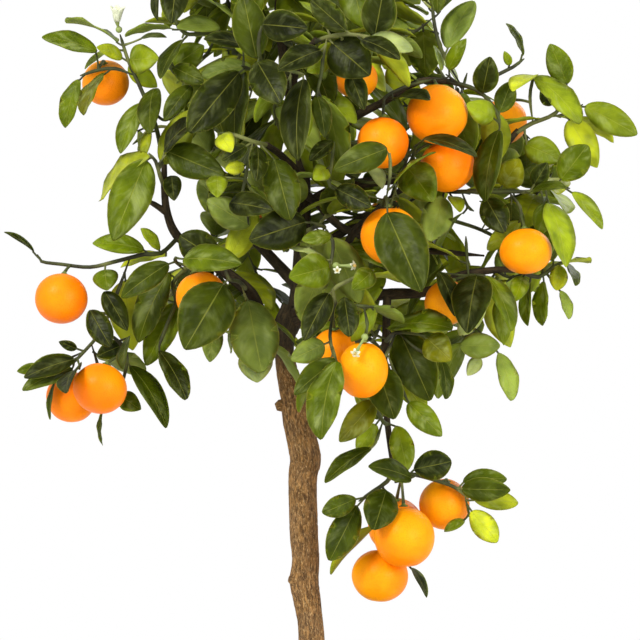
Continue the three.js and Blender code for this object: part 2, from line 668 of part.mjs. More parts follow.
// Balls no further apart than their spacing along a line of spots
function ballsAlong(spots, spacing) {
  const balls = [];
  for (let i = 1; i < spots.length; i++) {
    const count = Math.max(1, Math.ceil(spots[i - 1].at.distanceTo(spots[i].at) / spacing));
    for (let k = 0; k < count; k++) {
      const part = k / count;
      const at = new THREE.Vector3().lerpVectors(spots[i - 1].at, spots[i].at, part);
      const radius = spots[i - 1].radius * (1 - part) + spots[i].radius * part;
      balls.push({ at, radius, isNear: true });
    }
  }
  const last = spots[spots.length - 1];
  balls.push({ at: last.at, radius: last.radius, isNear: true });
  return balls;
}

// A leaf by its stalk's foot on the twig, the start and tip of its blade and its upper side
function leafFrame(root, base, tip, facing, width) {
  const along = new THREE.Vector3().subVectors(tip, base);
  const length = along.length();
  along.normalize();
  const up = facing.clone().addScaledVector(along, -facing.dot(along)).normalize();
  const side = new THREE.Vector3().crossVectors(along, up);
  return { root, base, along, up, side, length, width };
}
function bladePoint(leaf, part, across) {
  const arch = BLADE_ARCH * leaf.length * 4 * part * (1 - part);
  const rise = arch + BLADE_FOLD * Math.abs(across) * leaf.width;
  return leaf.base
    .clone()
    .addScaledVector(leaf.along, part * leaf.length)
    .addScaledVector(leaf.side, across * leaf.width)
    .addScaledVector(leaf.up, rise);
}
function halfWidth(part) {
  return 0.5 * Math.sin(Math.PI * Math.pow(part, 0.85)) ** 0.75;
}
const BLADE_ROWS = [0.12, 0.26, 0.4, 0.54, 0.68, 0.82, 0.94];
const BLADE_COLUMNS = [-0.95, -0.5, 0, 0.5, 0.95];
const STALK_ROWS = [0.25, 0.5, 0.75, 1];
const NEAR_SHARE = 0.2;
function leafBalls(leaf) {
  const balls = [{ at: bladePoint(leaf, 1, 0), radius: BLADE_KEEP }];
  for (const part of BLADE_ROWS) {
    for (const column of BLADE_COLUMNS) {
      const at = bladePoint(leaf, part, column * halfWidth(part));
      balls.push({ at, radius: BLADE_KEEP, isNear: part < NEAR_SHARE });
    }
  }
  for (const part of STALK_ROWS) {
    const at = new THREE.Vector3().lerpVectors(leaf.root, leaf.base, part);
    balls.push({ at, radius: PETIOLE_RADIUS + GAP, isNear: true });
  }
  return balls;
}

// The leaf's solid: a stalk of three sides, then a blade folded along its midrib, with a rim
const LEAF_STATIONS = [0.34, 0.7];
const LEAF_FACES = [
  [0, 2, 1], [0, 3, 2], [0, 1, 3],
  [1, 5, 4], [1, 2, 5], [2, 6, 5], [1, 4, 9], [2, 7, 6], [3, 1, 9], [3, 9, 8], [3, 8, 7], [3, 7, 2],
  [4, 5, 11], [4, 11, 10], [5, 6, 11], [6, 12, 11], [6, 7, 13], [6, 13, 12],
  [7, 8, 13], [8, 14, 13], [8, 9, 14], [9, 15, 14], [9, 4, 10], [9, 10, 15],
  [10, 11, 16], [11, 12, 16], [12, 13, 16], [13, 14, 16], [14, 15, 16], [15, 10, 16],
];
function leafSolid(leaf) {
  const half = BLADE_THICKNESS / 2;
  const offset = (point, side, up) =>
    point.clone().addScaledVector(leaf.side, side).addScaledVector(leaf.up, up);
  // The stalk meets the blade in a mitre, so that it may come from any side.
  const inwards = new THREE.Vector3().subVectors(leaf.root, leaf.base).normalize();
  const mitre = leaf.along.clone().sub(inwards).normalize();
  const across = leaf.side.clone().addScaledVector(mitre, -leaf.side.dot(mitre)).normalize();
  const over = new THREE.Vector3().crossVectors(across, mitre);
  const atBase = (side, up) => leaf.base.clone().addScaledVector(across, side).addScaledVector(over, up);
  const points = [
    leaf.root.clone().addScaledVector(inwards, ROOT_SUNK),
    atBase(-PETIOLE_RADIUS, 0.5 * PETIOLE_RADIUS),
    atBase(PETIOLE_RADIUS, 0.5 * PETIOLE_RADIUS),
    atBase(0, -PETIOLE_RADIUS),
  ];
  for (const part of LEAF_STATIONS) {
    const rim = halfWidth(part);
    for (const across of [-rim, 0, rim]) points.push(offset(bladePoint(leaf, part, across), 0, half));
    for (const across of [rim, 0, -rim]) points.push(offset(bladePoint(leaf, part, across), 0, -half));
  }
  points.push(bladePoint(leaf, 1, 0));
  const geometry = new THREE.BufferGeometry().setFromPoints(points).setIndex(LEAF_FACES.flat());
  return solid(geometry);
}

// The nearest spot of a spray's twigs to a place, as the front view shows it or in space;
// a spot that already bears leaves counts as further off, so that they spread along the twig
const SPOT_CROWDING = 5;
function nearestSpot(spots, to, isFlat) {
  const gap = (spot) =>
    Math.hypot(spot.at.x - to.x, isFlat ? 0 : spot.at.y - to.y, spot.at.z - to.z) +
    (isFlat ? SPOT_CROWDING * spot.leaves : 0);
  return spots.reduce((best, spot) => (gap(spot) < gap(best) ? spot : best));
}

// Leaves placed by hand as the front view shows them: the first depth that is clear is taken
const DEPTH_SHIFTS = [0, -5, 5, -9, 9, -13, 13, -17, 17, -22, 22, -27, 27, -33, 33, -40, 40];
const TIP_SHIFTS = [0, -7, 7, -14, 14, -22];
const TYPICAL_WIDTH = 0.46;
const MOST_FORESHORTENED = 1.9;
const FRONT_DEPTH = -60;
const STALK_LENGTH = 5.5;
function placedLeaf({ name, spots }, [baseX, baseZ, tipX, tipZ, width, back]) {
  const spot = nearestSpot(spots, place([baseX, FRONT_DEPTH, baseZ]), true);
  for (const shift of DEPTH_SHIFTS) {
    for (const tipShift of TIP_SHIFTS) {
      const base = place([baseX, spot.at.y + shift, baseZ]);
      const tip = place([tipX, spot.at.y + shift + back + tipShift, tipZ]);
      const along = new THREE.Vector3().subVectors(tip, base).normalize();
      base.addScaledVector(along, Math.max(0, STALK_LENGTH - base.distanceTo(spot.at)));
      const length = base.distanceTo(tip);
      const typical = Math.min(TYPICAL_WIDTH * length, MOST_FORESHORTENED * width);
      const trueWidth = Math.max(width, typical);
      const turn = Math.acos(width / trueWidth);
      const toView = new THREE.Vector3(0, -1, 0);
      toView.addScaledVector(along, -toView.dot(along)).normalize();
      const oneWay = toView.clone().applyAxisAngle(along, turn);
      const otherWay = toView.clone().applyAxisAngle(along, -turn);
      const leaf = leafFrame(spot.at, base, tip, oneWay.z > otherWay.z ? oneWay : otherWay, trueWidth);
      const balls = leafBalls(leaf);
      if (isClear(balls, name)) {
        addObstacle(balls, name);
        spot.leaves += 1;
        return leaf;
      }
    }
  }
  return null;
}

// Leaves placed by rule: spaced along the twigs, turned on by the golden angle, hanging a little
const GOLDEN_TURN = 2.39996;
const LEAF_SPREAD = 0.9;
const LEAF_DROOP = 0.22;
const TURNS_TRIED = 14;
const TURN_STEP = 0.77;
const SMALLER = 0.8;
const BARE_SHARE = 0.12;
const LENGTH = { least: 40, range: 16 };
const WIDTH_SHARE = { least: 0.46, range: 0.1 };
const MOST_FORWARD = 0.1;
function ruledLeaf({ name, spots, draw }, index, count, backwards, isAllowed = () => true) {
  const share = BARE_SHARE + ((1 - BARE_SHARE) * (index + draw())) / count;
  const k = Math.min(spots.length - 2, Math.floor(share * (spots.length - 1)));
  const spot = spots[k + 1];
  const heading = new THREE.Vector3().subVectors(spots[k + 1].at, spots[k].at).normalize();
  const length = LENGTH.least + LENGTH.range * draw();
  const width = length * (WIDTH_SHARE.least + WIDTH_SHARE.range * draw());
  const startTurn = index * GOLDEN_TURN + draw();
  const lean = draw() - 0.5;
  for (let tried = 0; tried < TURNS_TRIED; tried++) {
    const turn = startTurn + tried * TURN_STEP;
    const size = tried < TURNS_TRIED / 2 ? 1 : SMALLER;
    const flat = new THREE.Vector3(Math.cos(turn), Math.sin(turn), 0.5 * Math.sin(3 * turn));
    flat.addScaledVector(heading, -flat.dot(heading)).normalize();
    const along = heading.clone().multiplyScalar(Math.cos(LEAF_SPREAD));
    along.addScaledVector(flat, Math.sin(LEAF_SPREAD));
    along.z -= LEAF_DROOP;
    along.normalize();
    if (backwards && along.y < MOST_FORWARD) continue;
    const base = spot.at.clone().addScaledVector(along, STALK_LENGTH);
    const tip = base.clone().addScaledVector(along, length * size);
    const facing = new THREE.Vector3(lean, 0.6 * lean, 1).addScaledVector(flat, 0.35);
    const leaf = leafFrame(spot.at, base, tip, facing, width * size);
    if (!isAllowed(leaf)) continue;
    const balls = leafBalls(leaf);
    if (isClear(balls, name)) {
      addObstacle(balls, name);
      return leaf;
    }
  }
  return null;
}

const woodBalls = [trunkLine, ...limbLines].flatMap((line) => ballsAlong(line, SPOT_SPACING));
const isOutsideWood = ({ at }) =>
  !woodBalls.some((ball) => ball.at.distanceTo(at) < ball.radius + WOOD_MARGIN);

// The line of each spray's twigs, and what the leaves must keep clear of
const sprays = Object.entries(SPRAYS).map(([name, spray], index) => {
  const lines = [];
  const spots = [];
  spray.twigs.forEach((twig, order) => {
    const thick = order === 0 ? TWIG_THICK : 0.5 * (TWIG_THICK + TWIG_THIN);
    const line = twig.map((row, i) => ({
      at: place(row),
      radius: thick + ((TWIG_THIN - thick) * i) / (twig.length - 1),
    }));
    if (order > 0) {
      line[0].at = nearestSpot(spots, line[0].at, false).at.clone();
      line[0].radius = SIDE_TWIG_ROOT;
    }
    lines.push(line);
    const onLine = ballsAlong(line, SPOT_SPACING).slice(0, -1).filter(isOutsideWood);
    spots.push(...onLine.map(({ at }) => ({ at, leaves: 0 })));
  });
  return { name, spray, lines, spots, draw: seeded(FIRST_SEED + SEED_STEP * index), leaves: [] };
});
addObstacle(ballsAlong(trunkLine, SPOT_SPACING), "wood");
limbLines.forEach((line) => addObstacle(ballsAlong(line, SPOT_SPACING), "wood"));
sprays.forEach(({ name, lines }) =>
  lines.forEach((line) => addObstacle(ballsAlong(line, SPOT_SPACING), name)),
);

const ORANGE_SIDES = 8;
const ORANGE_RINGS = 6;
const POLE = 0.99;
const TOP_DIMPLE = 1;
const FOOT_DIMPLE = 0.4;

// Oranges hang from a stalk with a small green calyx; the fruit's own axis points to its twig
const fruits = [];
sprays.forEach((item) => {
  for (const [x, y, z, radius, tall] of item.spray.fruit) {
    const middle = place([x, y, z]);
    const spot = nearestSpot(item.spots, middle.clone().add(new THREE.Vector3(0, 0, radius)), false);
    const axis = new THREE.Vector3().subVectors(spot.at, middle).normalize();
    axis.z += 1.2;
    axis.normalize();
    const top = middle.clone().addScaledVector(axis, radius * tall);
    fruits.push({ middle, radius, tall, axis, top, spot, spray: item.name });
    const reach = Math.max(radius, radius * tall);
    addObstacle([{ at: middle, radius: reach }], "fruit");
    const stalk = [spot.at, top].map((at) => ({ at, radius: STALK_RADIUS + GAP }));
    addObstacle(ballsAlong(stalk, SPOT_SPACING), item.name);
  }
});
function orangeSolid({ middle, radius, tall, axis }) {
  const geometry = new THREE.SphereGeometry(1, ORANGE_SIDES, ORANGE_RINGS);
  const position = geometry.attributes.position;
  for (let v = 0; v < position.count; v++) {
    const height = position.getY(v);
    const dimple = height > POLE ? TOP_DIMPLE : height < -POLE ? -FOOT_DIMPLE : 0;
    const upAxis = height * tall * radius - dimple;
    position.setXYZ(v, position.getX(v) * radius, upAxis, position.getZ(v) * radius);
  }
  const upright = new THREE.Quaternion().setFromUnitVectors(new THREE.Vector3(0, 1, 0), axis);
  geometry.applyQuaternion(upright).translate(middle.x, middle.y, middle.z);
  return solid(geometry);
}
const ORANGE_PEEL = { color: 0xf58a12, roughness: 0.45 };
fruits.forEach((fruit, i) => {
  const name = "orange_" + String(i + 1).padStart(2, "0");
  addPiece(name, orangeSolid(fruit), ORANGE_PEEL);
});

// Blossoms: flowers [x, y, z, radius] on short stalks that meet in a bud just off a twig's end
const BLOSSOMS = {
  blossom_top_left: { twigEnd: [-137, -30, 639], flowers: [[-139, -36, 648, 9]] },
  blossom_centre: { twigEnd: [11, -96, 478], flowers: [[26, -100, 477, 3.4], [15, -104, 474, 2.8]] },
  blossom_low_centre: { twigEnd: [36, -111, 430], flowers: [[28, -121, 416, 3.6]] },
};
const PETALS = 5;
const PETAL_THICKNESS = 1;
const PETAL_NOTCH = 0.42;
const PETAL_LIFT = 2;
const STAMEN_HEIGHT = 4;
const BUD_RADIUS = 2.4;
function bloomSolid({ middle, foot, radius }) {
  const geometry = new THREE.CylinderGeometry(1, 1, 1, 2 * PETALS);
  const axis = new THREE.Vector3().subVectors(middle, foot).normalize();
  axis.y -= 0.6;
  axis.normalize();
  const upright = new THREE.Quaternion().setFromUnitVectors(new THREE.Vector3(0, 1, 0), axis);
  const position = geometry.attributes.position;
  const point = new THREE.Vector3();
  for (let v = 0; v < position.count; v++) {
    point.fromBufferAttribute(position, v);
    const isTop = point.y > 0;
    const turn = Math.atan2(point.x, point.z);
    const isTip = Math.round((turn * PETALS) / Math.PI) % 2 === 0;
    if (Math.hypot(point.x, point.z) < 0.5) {
      point.set(0, isTop ? STAMEN_HEIGHT : 0, 0);
    } else {
      const reach = isTip ? radius : PETAL_NOTCH * radius;
      const height = (isTip ? PETAL_LIFT : 0) - (isTop ? 0 : PETAL_THICKNESS);
      point.set(Math.sin(turn) * reach, height, Math.cos(turn) * reach);
    }
    point.applyQuaternion(upright).add(middle);
    if (!isTop && point.distanceTo(middle) < 0.1) point.copy(foot);
    position.setXYZ(v, point.x, point.y, point.z);
  }
  return solid(geometry);
}
for (const [name, { twigEnd, flowers }] of Object.entries(BLOSSOMS)) {
  const end = place(twigEnd);
  const middles = flowers.map(place);
  const heading = new THREE.Vector3();
  middles.forEach((middle) => heading.add(middle).sub(end));
  const foot = end.clone().addScaledVector(heading.normalize(), TWIG_THIN + BUD_RADIUS + GAP);
  const bud = new THREE.OctahedronGeometry(BUD_RADIUS).translate(foot.x, foot.y, foot.z);
  const blooms = flowers.map(([, , , radius], i) => bloomSolid({ middle: middles[i], foot, radius }));
  addPiece(name, join([solid(bud), ...blooms]), { color: 0xf6f3e4, roughness: 0.6 });
  addObstacle([
    { at: foot, radius: BUD_RADIUS + GAP },
    ...flowers.map(([, , , radius], i) => ({ at: middles[i], radius: 0.8 * radius })),
  ], name);
}

// The crown's outline and the openings through it, as the front view shows them: [x, z] and
// [x, z, radius]. The back's leaves and the inner shoots stay inside the one, out of the others.
const OUTLINE = [
  [-100, 700], [-60, 725], [50, 725], [82, 690], [80, 630], [128, 590], [172, 560], [178, 500],
  [150, 452], [120, 425], [92, 408], [84, 368], [22, 366], [-4, 424], [-34, 408], [-94, 420],
  [-118, 440], [-104, 478], [-84, 492], [-76, 520], [-92, 548], [-106, 590], [-104, 640],
];
const OPENINGS = [
  [113, 508, 13], [113, 491, 10], [107, 523, 7], [59, 461, 7], [157, 576, 6], [-62, 598, 6],
];
function asSeen({ x, y, z }) {
  const open = 1 + y / VIEW.distance;
  return [VIEW.x + (x - VIEW.x) / open, VIEW.z + (z - VIEW.z) / open];
}
function isInsideOutline([x, z]) {
  return OUTLINE.reduce((inside, [x0, z0], i) => {
    const [x1, z1] = OUTLINE[(i + 1) % OUTLINE.length];
    return z0 > z !== z1 > z && x < x0 + ((z - z0) / (z1 - z0)) * (x1 - x0) ? !inside : inside;
  }, false);
}
const OPENING_ROWS = [0.25, 0.5, 0.75, 1];
const OPENING_COLUMNS = [-0.35, 0, 0.35];
const OUTLINE_ROWS = [0.4, 0.8, 1];
function staysInside(leaf) {
  const isOpen = ([x, z]) =>
    OPENINGS.some(([atX, atZ, radius]) => Math.hypot(x - atX, z - atZ) < radius);
  return (
    OUTLINE_ROWS.every((part) => isInsideOutline(asSeen(bladePoint(leaf, part, 0)))) &&
    !OPENING_ROWS.some((part) =>
      OPENING_COLUMNS.some((across) => isOpen(asSeen(bladePoint(leaf, part, across)))),
    )
  );
}

// Leaves: all those set by hand first, then those set by rule
sprays.forEach((item) => {
  for (const row of item.spray.leaves) {
    const leaf = placedLeaf(item, row);
    if (leaf) item.leaves.push(leaf);
  }
});
sprays.forEach((item) => {
  const isFront = item.spray.leaves.length > 0;
  for (let i = 0; i < item.spray.more; i++) {
    const leaf = ruledLeaf(item, i, item.spray.more, isFront, isFront ? undefined : staysInside);
    if (leaf) item.leaves.push(leaf);
  }
});

// Inner shoots: leafy side twigs from the sprays into the room that is left in the crown
const SHOOT_SEED = 7717;
const SHOOTS_TRIED = 1500;
const SHOOT_LEAVES_MOST = 130;
const SHOOT_LEAVES = 7;
const SHOOT_ROOM = 9;
const SHOOT_BEND = 0.16;
const REACH = { least: 22, most: 62 };
const FURTHEST_FORWARD = -45;
const CROWN = { at: [0, 5, 560], reach: [185, 112, 170] };
const shootDraw = seeded(SHOOT_SEED);
let shootLeaves = 0;
for (let tried = 0; tried < SHOOTS_TRIED && shootLeaves < SHOOT_LEAVES_MOST; tried++) {
  const part = CROWN.at.map(() => 2 * shootDraw() - 1);
  const target = new THREE.Vector3(...CROWN.at.map((at, i) => at + part[i] * CROWN.reach[i]));
  if (Math.hypot(...part) > 1 || target.y < FURTHEST_FORWARD) continue;
  if (!isInsideOutline(asSeen(target))) continue;
  if (!isClear([{ at: target, radius: SHOOT_ROOM }], "shoot")) continue;
  const { item, spot } = sprays
    .map((own) => ({ item: own, spot: nearestSpot(own.spots, target, false) }))
    .reduce((best, next) =>
      next.spot.at.distanceTo(target) < best.spot.at.distanceTo(target) ? next : best,
    );
  const reach = spot.at.distanceTo(target);
  if (reach < REACH.least || reach > REACH.most) continue;
  const bend = new THREE.Vector3().lerpVectors(spot.at, target, 0.5);
  bend.z -= SHOOT_BEND * reach;
  const line = [
    { at: spot.at, radius: SIDE_TWIG_ROOT },
    { at: bend, radius: TWIG_THIN },
    { at: target, radius: TWIG_THIN },
  ];
  const balls = ballsAlong(line, SPOT_SPACING).slice(1);
  if (!isClear(balls, item.name)) continue;
  addObstacle(balls, item.name);
  item.lines.push(line);
  const shoot = { name: item.name, spots: balls, draw: shootDraw };
  for (let i = 0; i < SHOOT_LEAVES; i++) {
    const leaf = ruledLeaf(shoot, i, SHOOT_LEAVES, false, staysInside);
    if (!leaf) continue;
    item.leaves.push(leaf);
    shootLeaves += 1;
  }
}

// A fruit's stalk comes down its axis and flares to a green calyx, which sits in the dimple of
// the peel with a small gap.
function stalkSolid({ middle, radius, tall, axis, spot }) {
  const onAxis = (height) => middle.clone().addScaledVector(axis, radius * tall + height);
  const calyxFoot = GAP - TOP_DIMPLE;
  const line = [
    { at: spot.at, radius: STALK_RADIUS },
    { at: onAxis(calyxFoot + CALYX_HEIGHT), radius: STALK_RADIUS },
    { at: onAxis(calyxFoot), radius: CALYX_RADIUS },
  ];
  return branchSolid(line, STALK_SIDES);
}
const LEAF_GREEN = { color: 0x3f5a26, roughness: 0.5 };
sprays.forEach((item) => {
  const own = fruits.filter((fruit) => fruit.spray === item.name);
  const whole = join([
    ...item.lines.map((line) => branchSolid(line, TWIG_SIDES)),
    ...own.map(stalkSolid),
    ...item.leaves.map(leafSolid),
  ]);
  addPiece("spray_" + item.name, mainBody(whole.subtract(woodWithGap)), LEAF_GREEN);
});

export default tree;
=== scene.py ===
"""A small fruiting orange tree trained as a standard, in a round clay pot of soil.

Metres, +Z up, the origin at the middle of the pot's flat base, the crown's front towards -Y.
"""

import math
from functools import partialmethod
from itertools import product
from types import SimpleNamespace

import bpy
import numpy as np
from mathutils import Matrix, Vector, noise


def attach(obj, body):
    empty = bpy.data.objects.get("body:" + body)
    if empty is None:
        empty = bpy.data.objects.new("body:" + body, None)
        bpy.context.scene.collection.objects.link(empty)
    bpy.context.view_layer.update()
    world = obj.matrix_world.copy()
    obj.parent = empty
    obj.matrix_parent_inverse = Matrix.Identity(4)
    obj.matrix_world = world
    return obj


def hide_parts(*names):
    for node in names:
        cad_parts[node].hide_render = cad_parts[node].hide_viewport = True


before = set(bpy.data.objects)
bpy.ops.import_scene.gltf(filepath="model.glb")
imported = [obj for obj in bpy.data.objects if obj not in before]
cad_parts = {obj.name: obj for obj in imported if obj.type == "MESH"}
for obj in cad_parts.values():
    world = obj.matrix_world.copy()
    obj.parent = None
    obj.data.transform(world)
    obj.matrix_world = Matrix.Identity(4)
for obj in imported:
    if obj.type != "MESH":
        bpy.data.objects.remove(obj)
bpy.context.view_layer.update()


# The view: level with the crown, from far off, with soft light from all round and a broad
# source at the upper left, on a plain pale round floor.
CAMERA_AT, SEEN_WIDTH, SENSOR, FURTHEST_SEEN = (0.003, -2.6, 0.439), 0.448, 36.0, 50
scene = bpy.context.scene
camera_lens = bpy.data.cameras.new("view")
camera_lens.sensor_width = SENSOR
camera_lens.lens = SENSOR * -CAMERA_AT[1] / SEEN_WIDTH
camera_lens.clip_end = FURTHEST_SEEN
camera = bpy.data.objects.new("view", camera_lens)
camera.location = CAMERA_AT
camera.rotation_euler = (math.pi / 2, 0, 0)
scene.collection.objects.link(camera)
scene.camera = camera
scene.view_settings.view_transform = "Standard"

CROWN_MIDDLE = Vector((0, 0, 0.5))
LIGHTS = {
    "broad_source": ((-1.5, -1.9, 2.2), 1.1, 76, (1, 0.985, 0.95)),
    "soft_fill": ((1.6, -2.2, 0.9), 1.6, 40, (1, 1, 1)),
    "back_source": ((1.1, 1.6, 1.6), 1.2, 12, (1, 1, 1)),
}
for name, (at, size, power, colour) in LIGHTS.items():
    lamp = bpy.data.lights.new(name, "AREA")
    lamp.shape, lamp.size, lamp.energy, lamp.color = "DISK", size, power, colour
    light = bpy.data.objects.new(name, lamp)
    light.location = at
    light.rotation_euler = (CROWN_MIDDLE - Vector(at)).to_track_quat("-Z", "Y").to_euler()
    scene.collection.objects.link(light)

SEEN_WHITE, LIT_WHITE = 1.0, 0.75
studio = bpy.data.worlds.new("studio")
studio.use_nodes = True
nodes, links = studio.node_tree.nodes, studio.node_tree.links
whiteness = nodes.new("ShaderNodeMapRange")
whiteness.inputs["To Min"].default_value = LIT_WHITE
whiteness.inputs["To Max"].default_value = SEEN_WHITE
nodes["Background"].inputs["Color"].default_value = (1, 1, 1, 1)
links.new(nodes.new("ShaderNodeLightPath").outputs["Is Camera Ray"], whiteness.inputs["Value"])
links.new(whiteness.outputs["Result"], nodes["Background"].inputs["Strength"])
scene.world = studio


def mesh_object(name, points, faces, edges=(), smooth=True):
    """An object at the origin, from points in metres and faces that point outwards."""
    mesh = bpy.data.meshes.new(name)
    mesh.from_pydata([tuple(p) for p in points], edges, [tuple(f) for f in faces])
    mesh.validate()
    mesh.polygons.foreach_set("use_smooth", [smooth] * len(mesh.polygons))
    made = bpy.data.objects.new(name, mesh)
    scene.collection.objects.link(made)
    return made


def skin(first, rings, sides, foot, tip):
    """Faces round rings of points, one above another, closed to a point at each end."""
    faces = []
    for k in range(sides):
        after = (k + 1) % sides
        faces.append((foot, first + after, first + k))
        for low in range(first, first + (rings - 1) * sides, sides):
            faces.append((low + k, low + after, low + sides + after, low + sides + k))
        top = first + (rings - 1) * sides
        faces.append((top + k, top + after, tip))
    return faces


def turned(profile, sides):
    """Points and faces of a profile [radius, height] turned about +Z; it starts and ends on it."""
    points = [(0, 0, profile[0][1])]
    for radius, height in profile[1:-1]:
        for k in range(sides):
            turn = 2 * math.pi * k / sides
            points.append((radius * math.cos(turn), radius * math.sin(turn), height))
    points.append((0, 0, profile[-1][1]))
    return points, skin(1, len(profile) - 2, sides, 0, len(points) - 1)


def screen_colour(red, green, blue):
    """A colour given as it shows on a screen, from 0 to 255, as the shader's linear values."""
    shares = [value / 255 for value in (red, green, blue)]
    linear = [s / 12.92 if s < 0.04045 else ((s + 0.055) / 1.055) ** 2.4 for s in shares]
    return (*linear, 1)


FLOOR_RADIUS, FLOOR_DEPTH, FLOOR_SIDES = 2.1, 0.02, 64
floor_profile = [(0, -FLOOR_DEPTH), (FLOOR_RADIUS, -FLOOR_DEPTH), (FLOOR_RADIUS, 0), (0, 0)]
floor = mesh_object("floor", *turned(floor_profile, FLOOR_SIDES), smooth=False)
pale = bpy.data.materials.new("pale_floor")
pale.use_nodes = True
pale_shader = pale.node_tree.nodes["Principled BSDF"]
pale_shader.inputs["Base Color"].default_value = screen_colour(232, 231, 228)
pale_shader.inputs["Roughness"].default_value = 0.8
floor.data.materials.append(pale)


# Pot: fired red clay, thrown or pressed in a round mould, with a thick rolled rim. It is bare
# and unglazed, with faint turning rings and a pale bloom of salts where water dries.
class Wire:
    """A shader or geometry value that Python's own operators combine into nodes."""

    def __init__(self, tree, socket=None):
        self.tree, self.socket = tree, socket

    def __getitem__(self, name):
        """Another output of the same node."""
        outputs = self.socket.node.outputs
        return Wire(self.tree, next(s for s in outputs if s.name == name and s.enabled))

    def add(self, kind, values=None, **settings):
        """A new node, from its sockets' values by name or place and its settings."""
        node = self.tree.nodes.new(kind)
        for name, value in settings.items():
            setattr(node, name, value)
        for key, value in (values or {}).items():
            matching = [s for s in node.inputs if s.name == key and s.enabled]
            socket = node.inputs[key] if isinstance(key, int) else matching[0]
            if isinstance(value, Wire):
                self.tree.links.new(value.socket, socket)
            else:
                socket.default_value = value
        return Wire(self.tree, next((s for s in node.outputs if s.enabled), None))

    def maths(self, operation, *others):
        return self.add("ShaderNodeMath", dict(enumerate((self, *others))), operation=operation)

    __add__ = __radd__ = partialmethod(maths, "ADD")
    __sub__ = partialmethod(maths, "SUBTRACT")
    __mul__ = __rmul__ = partialmethod(maths, "MULTIPLY")
    __truediv__ = partialmethod(maths, "DIVIDE")
    __pow__ = partialmethod(maths, "POWER")

    def __rsub__(self, other):
        return self * -1 + other

    def parts(self):
        """A vector's X, Y and Z."""
        split = self.add("ShaderNodeSeparateXYZ", {"Vector": self})
        return split["X"], split["Y"], split["Z"]

    def between(self, low, high):
        """0 below low, 1 above high, and a smooth step from one to the other."""
        return self.add("ShaderNodeMapRange", {"Value": self, "From Min": low, "From Max": high},
                        interpolation_type="SMOOTHSTEP")

    def mix(self, first, second):
        """The first colour where this is 0, the second where it is 1."""
        first, second = (screen_colour(*c) if isinstance(c, tuple) else c for c in (first, second))
        return self.add("ShaderNodeMix", {"Factor": self, "A": first, "B": second},
                        data_type="RGBA")

    def grain(self, scale, detail, roughness=0.5, stretch=(1, 1, 1)):
        """Fractal noise from 0 to 1 at this place, its grains about 1 / scale metres wide."""
        moved = self.add("ShaderNodeMapping", {"Vector": self, "Scale": stretch})
        return self.add("ShaderNodeTexNoise", {
            "Vector": moved, "Scale": scale, "Detail": detail, "Roughness": roughness,
        })

    def bump(self, distance, strength):
        """A normal from this height, as a share of the distance in metres."""
        return self.add("ShaderNodeBump", {
            "Height": self, "Distance": distance, "Strength": strength,
        })


def finish_paint(name, build, **constants):
    """A material: build(place) gives its colour, roughness and normal, if it has one."""
    material = bpy.data.materials.new(name)
    material.use_nodes = True
    tree = material.node_tree
    shader = tree.nodes["Principled BSDF"]
    for key, value in constants.items():
        shader.inputs[key.replace("_", " ").title().replace("Ior", "IOR")].default_value = value
    place = Wire(tree).add("ShaderNodeTexCoord")["Object"]
    for key, value in zip(("Base Color", "Roughness", "Normal"), build(place)):
        tree.links.new(value.socket, shader.inputs[key])
    return material


def clay_paint(place):
    fine = place.grain(900, 2)
    rings = place.grain(160, 2, 0.5, (0.06, 0.06, 1))
    clay = place.grain(22, 5).between(0.35, 0.7).mix((158, 92, 62), (184, 115, 80))
    speckled = (fine.between(0.62, 0.75) * 0.5).mix(clay, (120, 66, 46))
    low = 1 - place.parts()[2].between(0.004, 0.05)
    bloom = place.grain(60, 6, 0.65).between(0.5, 0.68) * (low * 0.8 + 0.12)
    height = rings * 0.6 + fine * 0.4
    return bloom.mix(speckled, (206, 176, 152)), fine * 0.12 + 0.82, height.bump(0.0006, 0.6)


MM, MOST_ROUNDED, ROUNDING_STEPS = 0.001, 0.45, 4


def rounded(profile, reach):
    """The same profile with each corner turned into a short curve."""
    points = [np.array(p, float) for p in profile]
    made = [points[0]]
    for before, corner, after in zip(points, points[1:], points[2:]):
        start, end = (
            corner + away * min(MOST_ROUNDED, reach / np.linalg.norm(away))
            for away in (before - corner, after - corner)
        )
        for k in range(ROUNDING_STEPS + 1):
            t = k / ROUNDING_STEPS
            made.append((1 - t) ** 2 * start + 2 * t * (1 - t) * corner + t * t * end)
    return [tuple(p) for p in made + [points[-1]]]


def metres(rows):
    return [tuple(value * MM for value in row) for row in rows]


POT_HEIGHT, POT_RIM_RADIUS, POT_BASE_RADIUS, POT_COLLAR = 122, 119, 84, 8
POT_WALL, POT_FLOOR, POT_SIDES, POT_ROUNDING = 7, 9, 120, 2.6
DRAIN_RADIUS, DRAIN_RING, DRAIN_COUNT, DRAIN_SIDES, DRAIN_CUT = 8, 46, 3, 24, 20
GROOVE_HALF_WIDTH, GROOVE_DEPTH = 3, 2.5
foot, rim, neck = POT_BASE_RADIUS, POT_RIM_RADIUS, POT_RIM_RADIUS - POT_COLLAR
pot_profile = [
    (0, 0), (foot, 0), (foot + 11, 36), (foot + 23, 82), (neck, POT_HEIGHT - 18),
    (rim, POT_HEIGHT - 14), (rim, POT_HEIGHT - 2), (rim - 2, POT_HEIGHT), (neck - 2, POT_HEIGHT),
    (neck - POT_WALL, POT_HEIGHT - 18), (foot + 23 - POT_WALL, 82), (foot + 11 - POT_WALL, 36),
    (foot - POT_WALL - 2, POT_FLOOR), (0, POT_FLOOR),
]
pot = mesh_object("clay_pot", *turned(metres(rounded(pot_profile, POT_ROUNDING)), POT_SIDES))


def apply_modifiers(piece):
    """The evaluated shape becomes the piece's own plain mesh."""
    evaluated = piece.evaluated_get(bpy.context.evaluated_depsgraph_get())
    made = bpy.data.meshes.new_from_object(evaluated)
    made.name = piece.name
    piece.modifiers.clear()
    piece.data = made


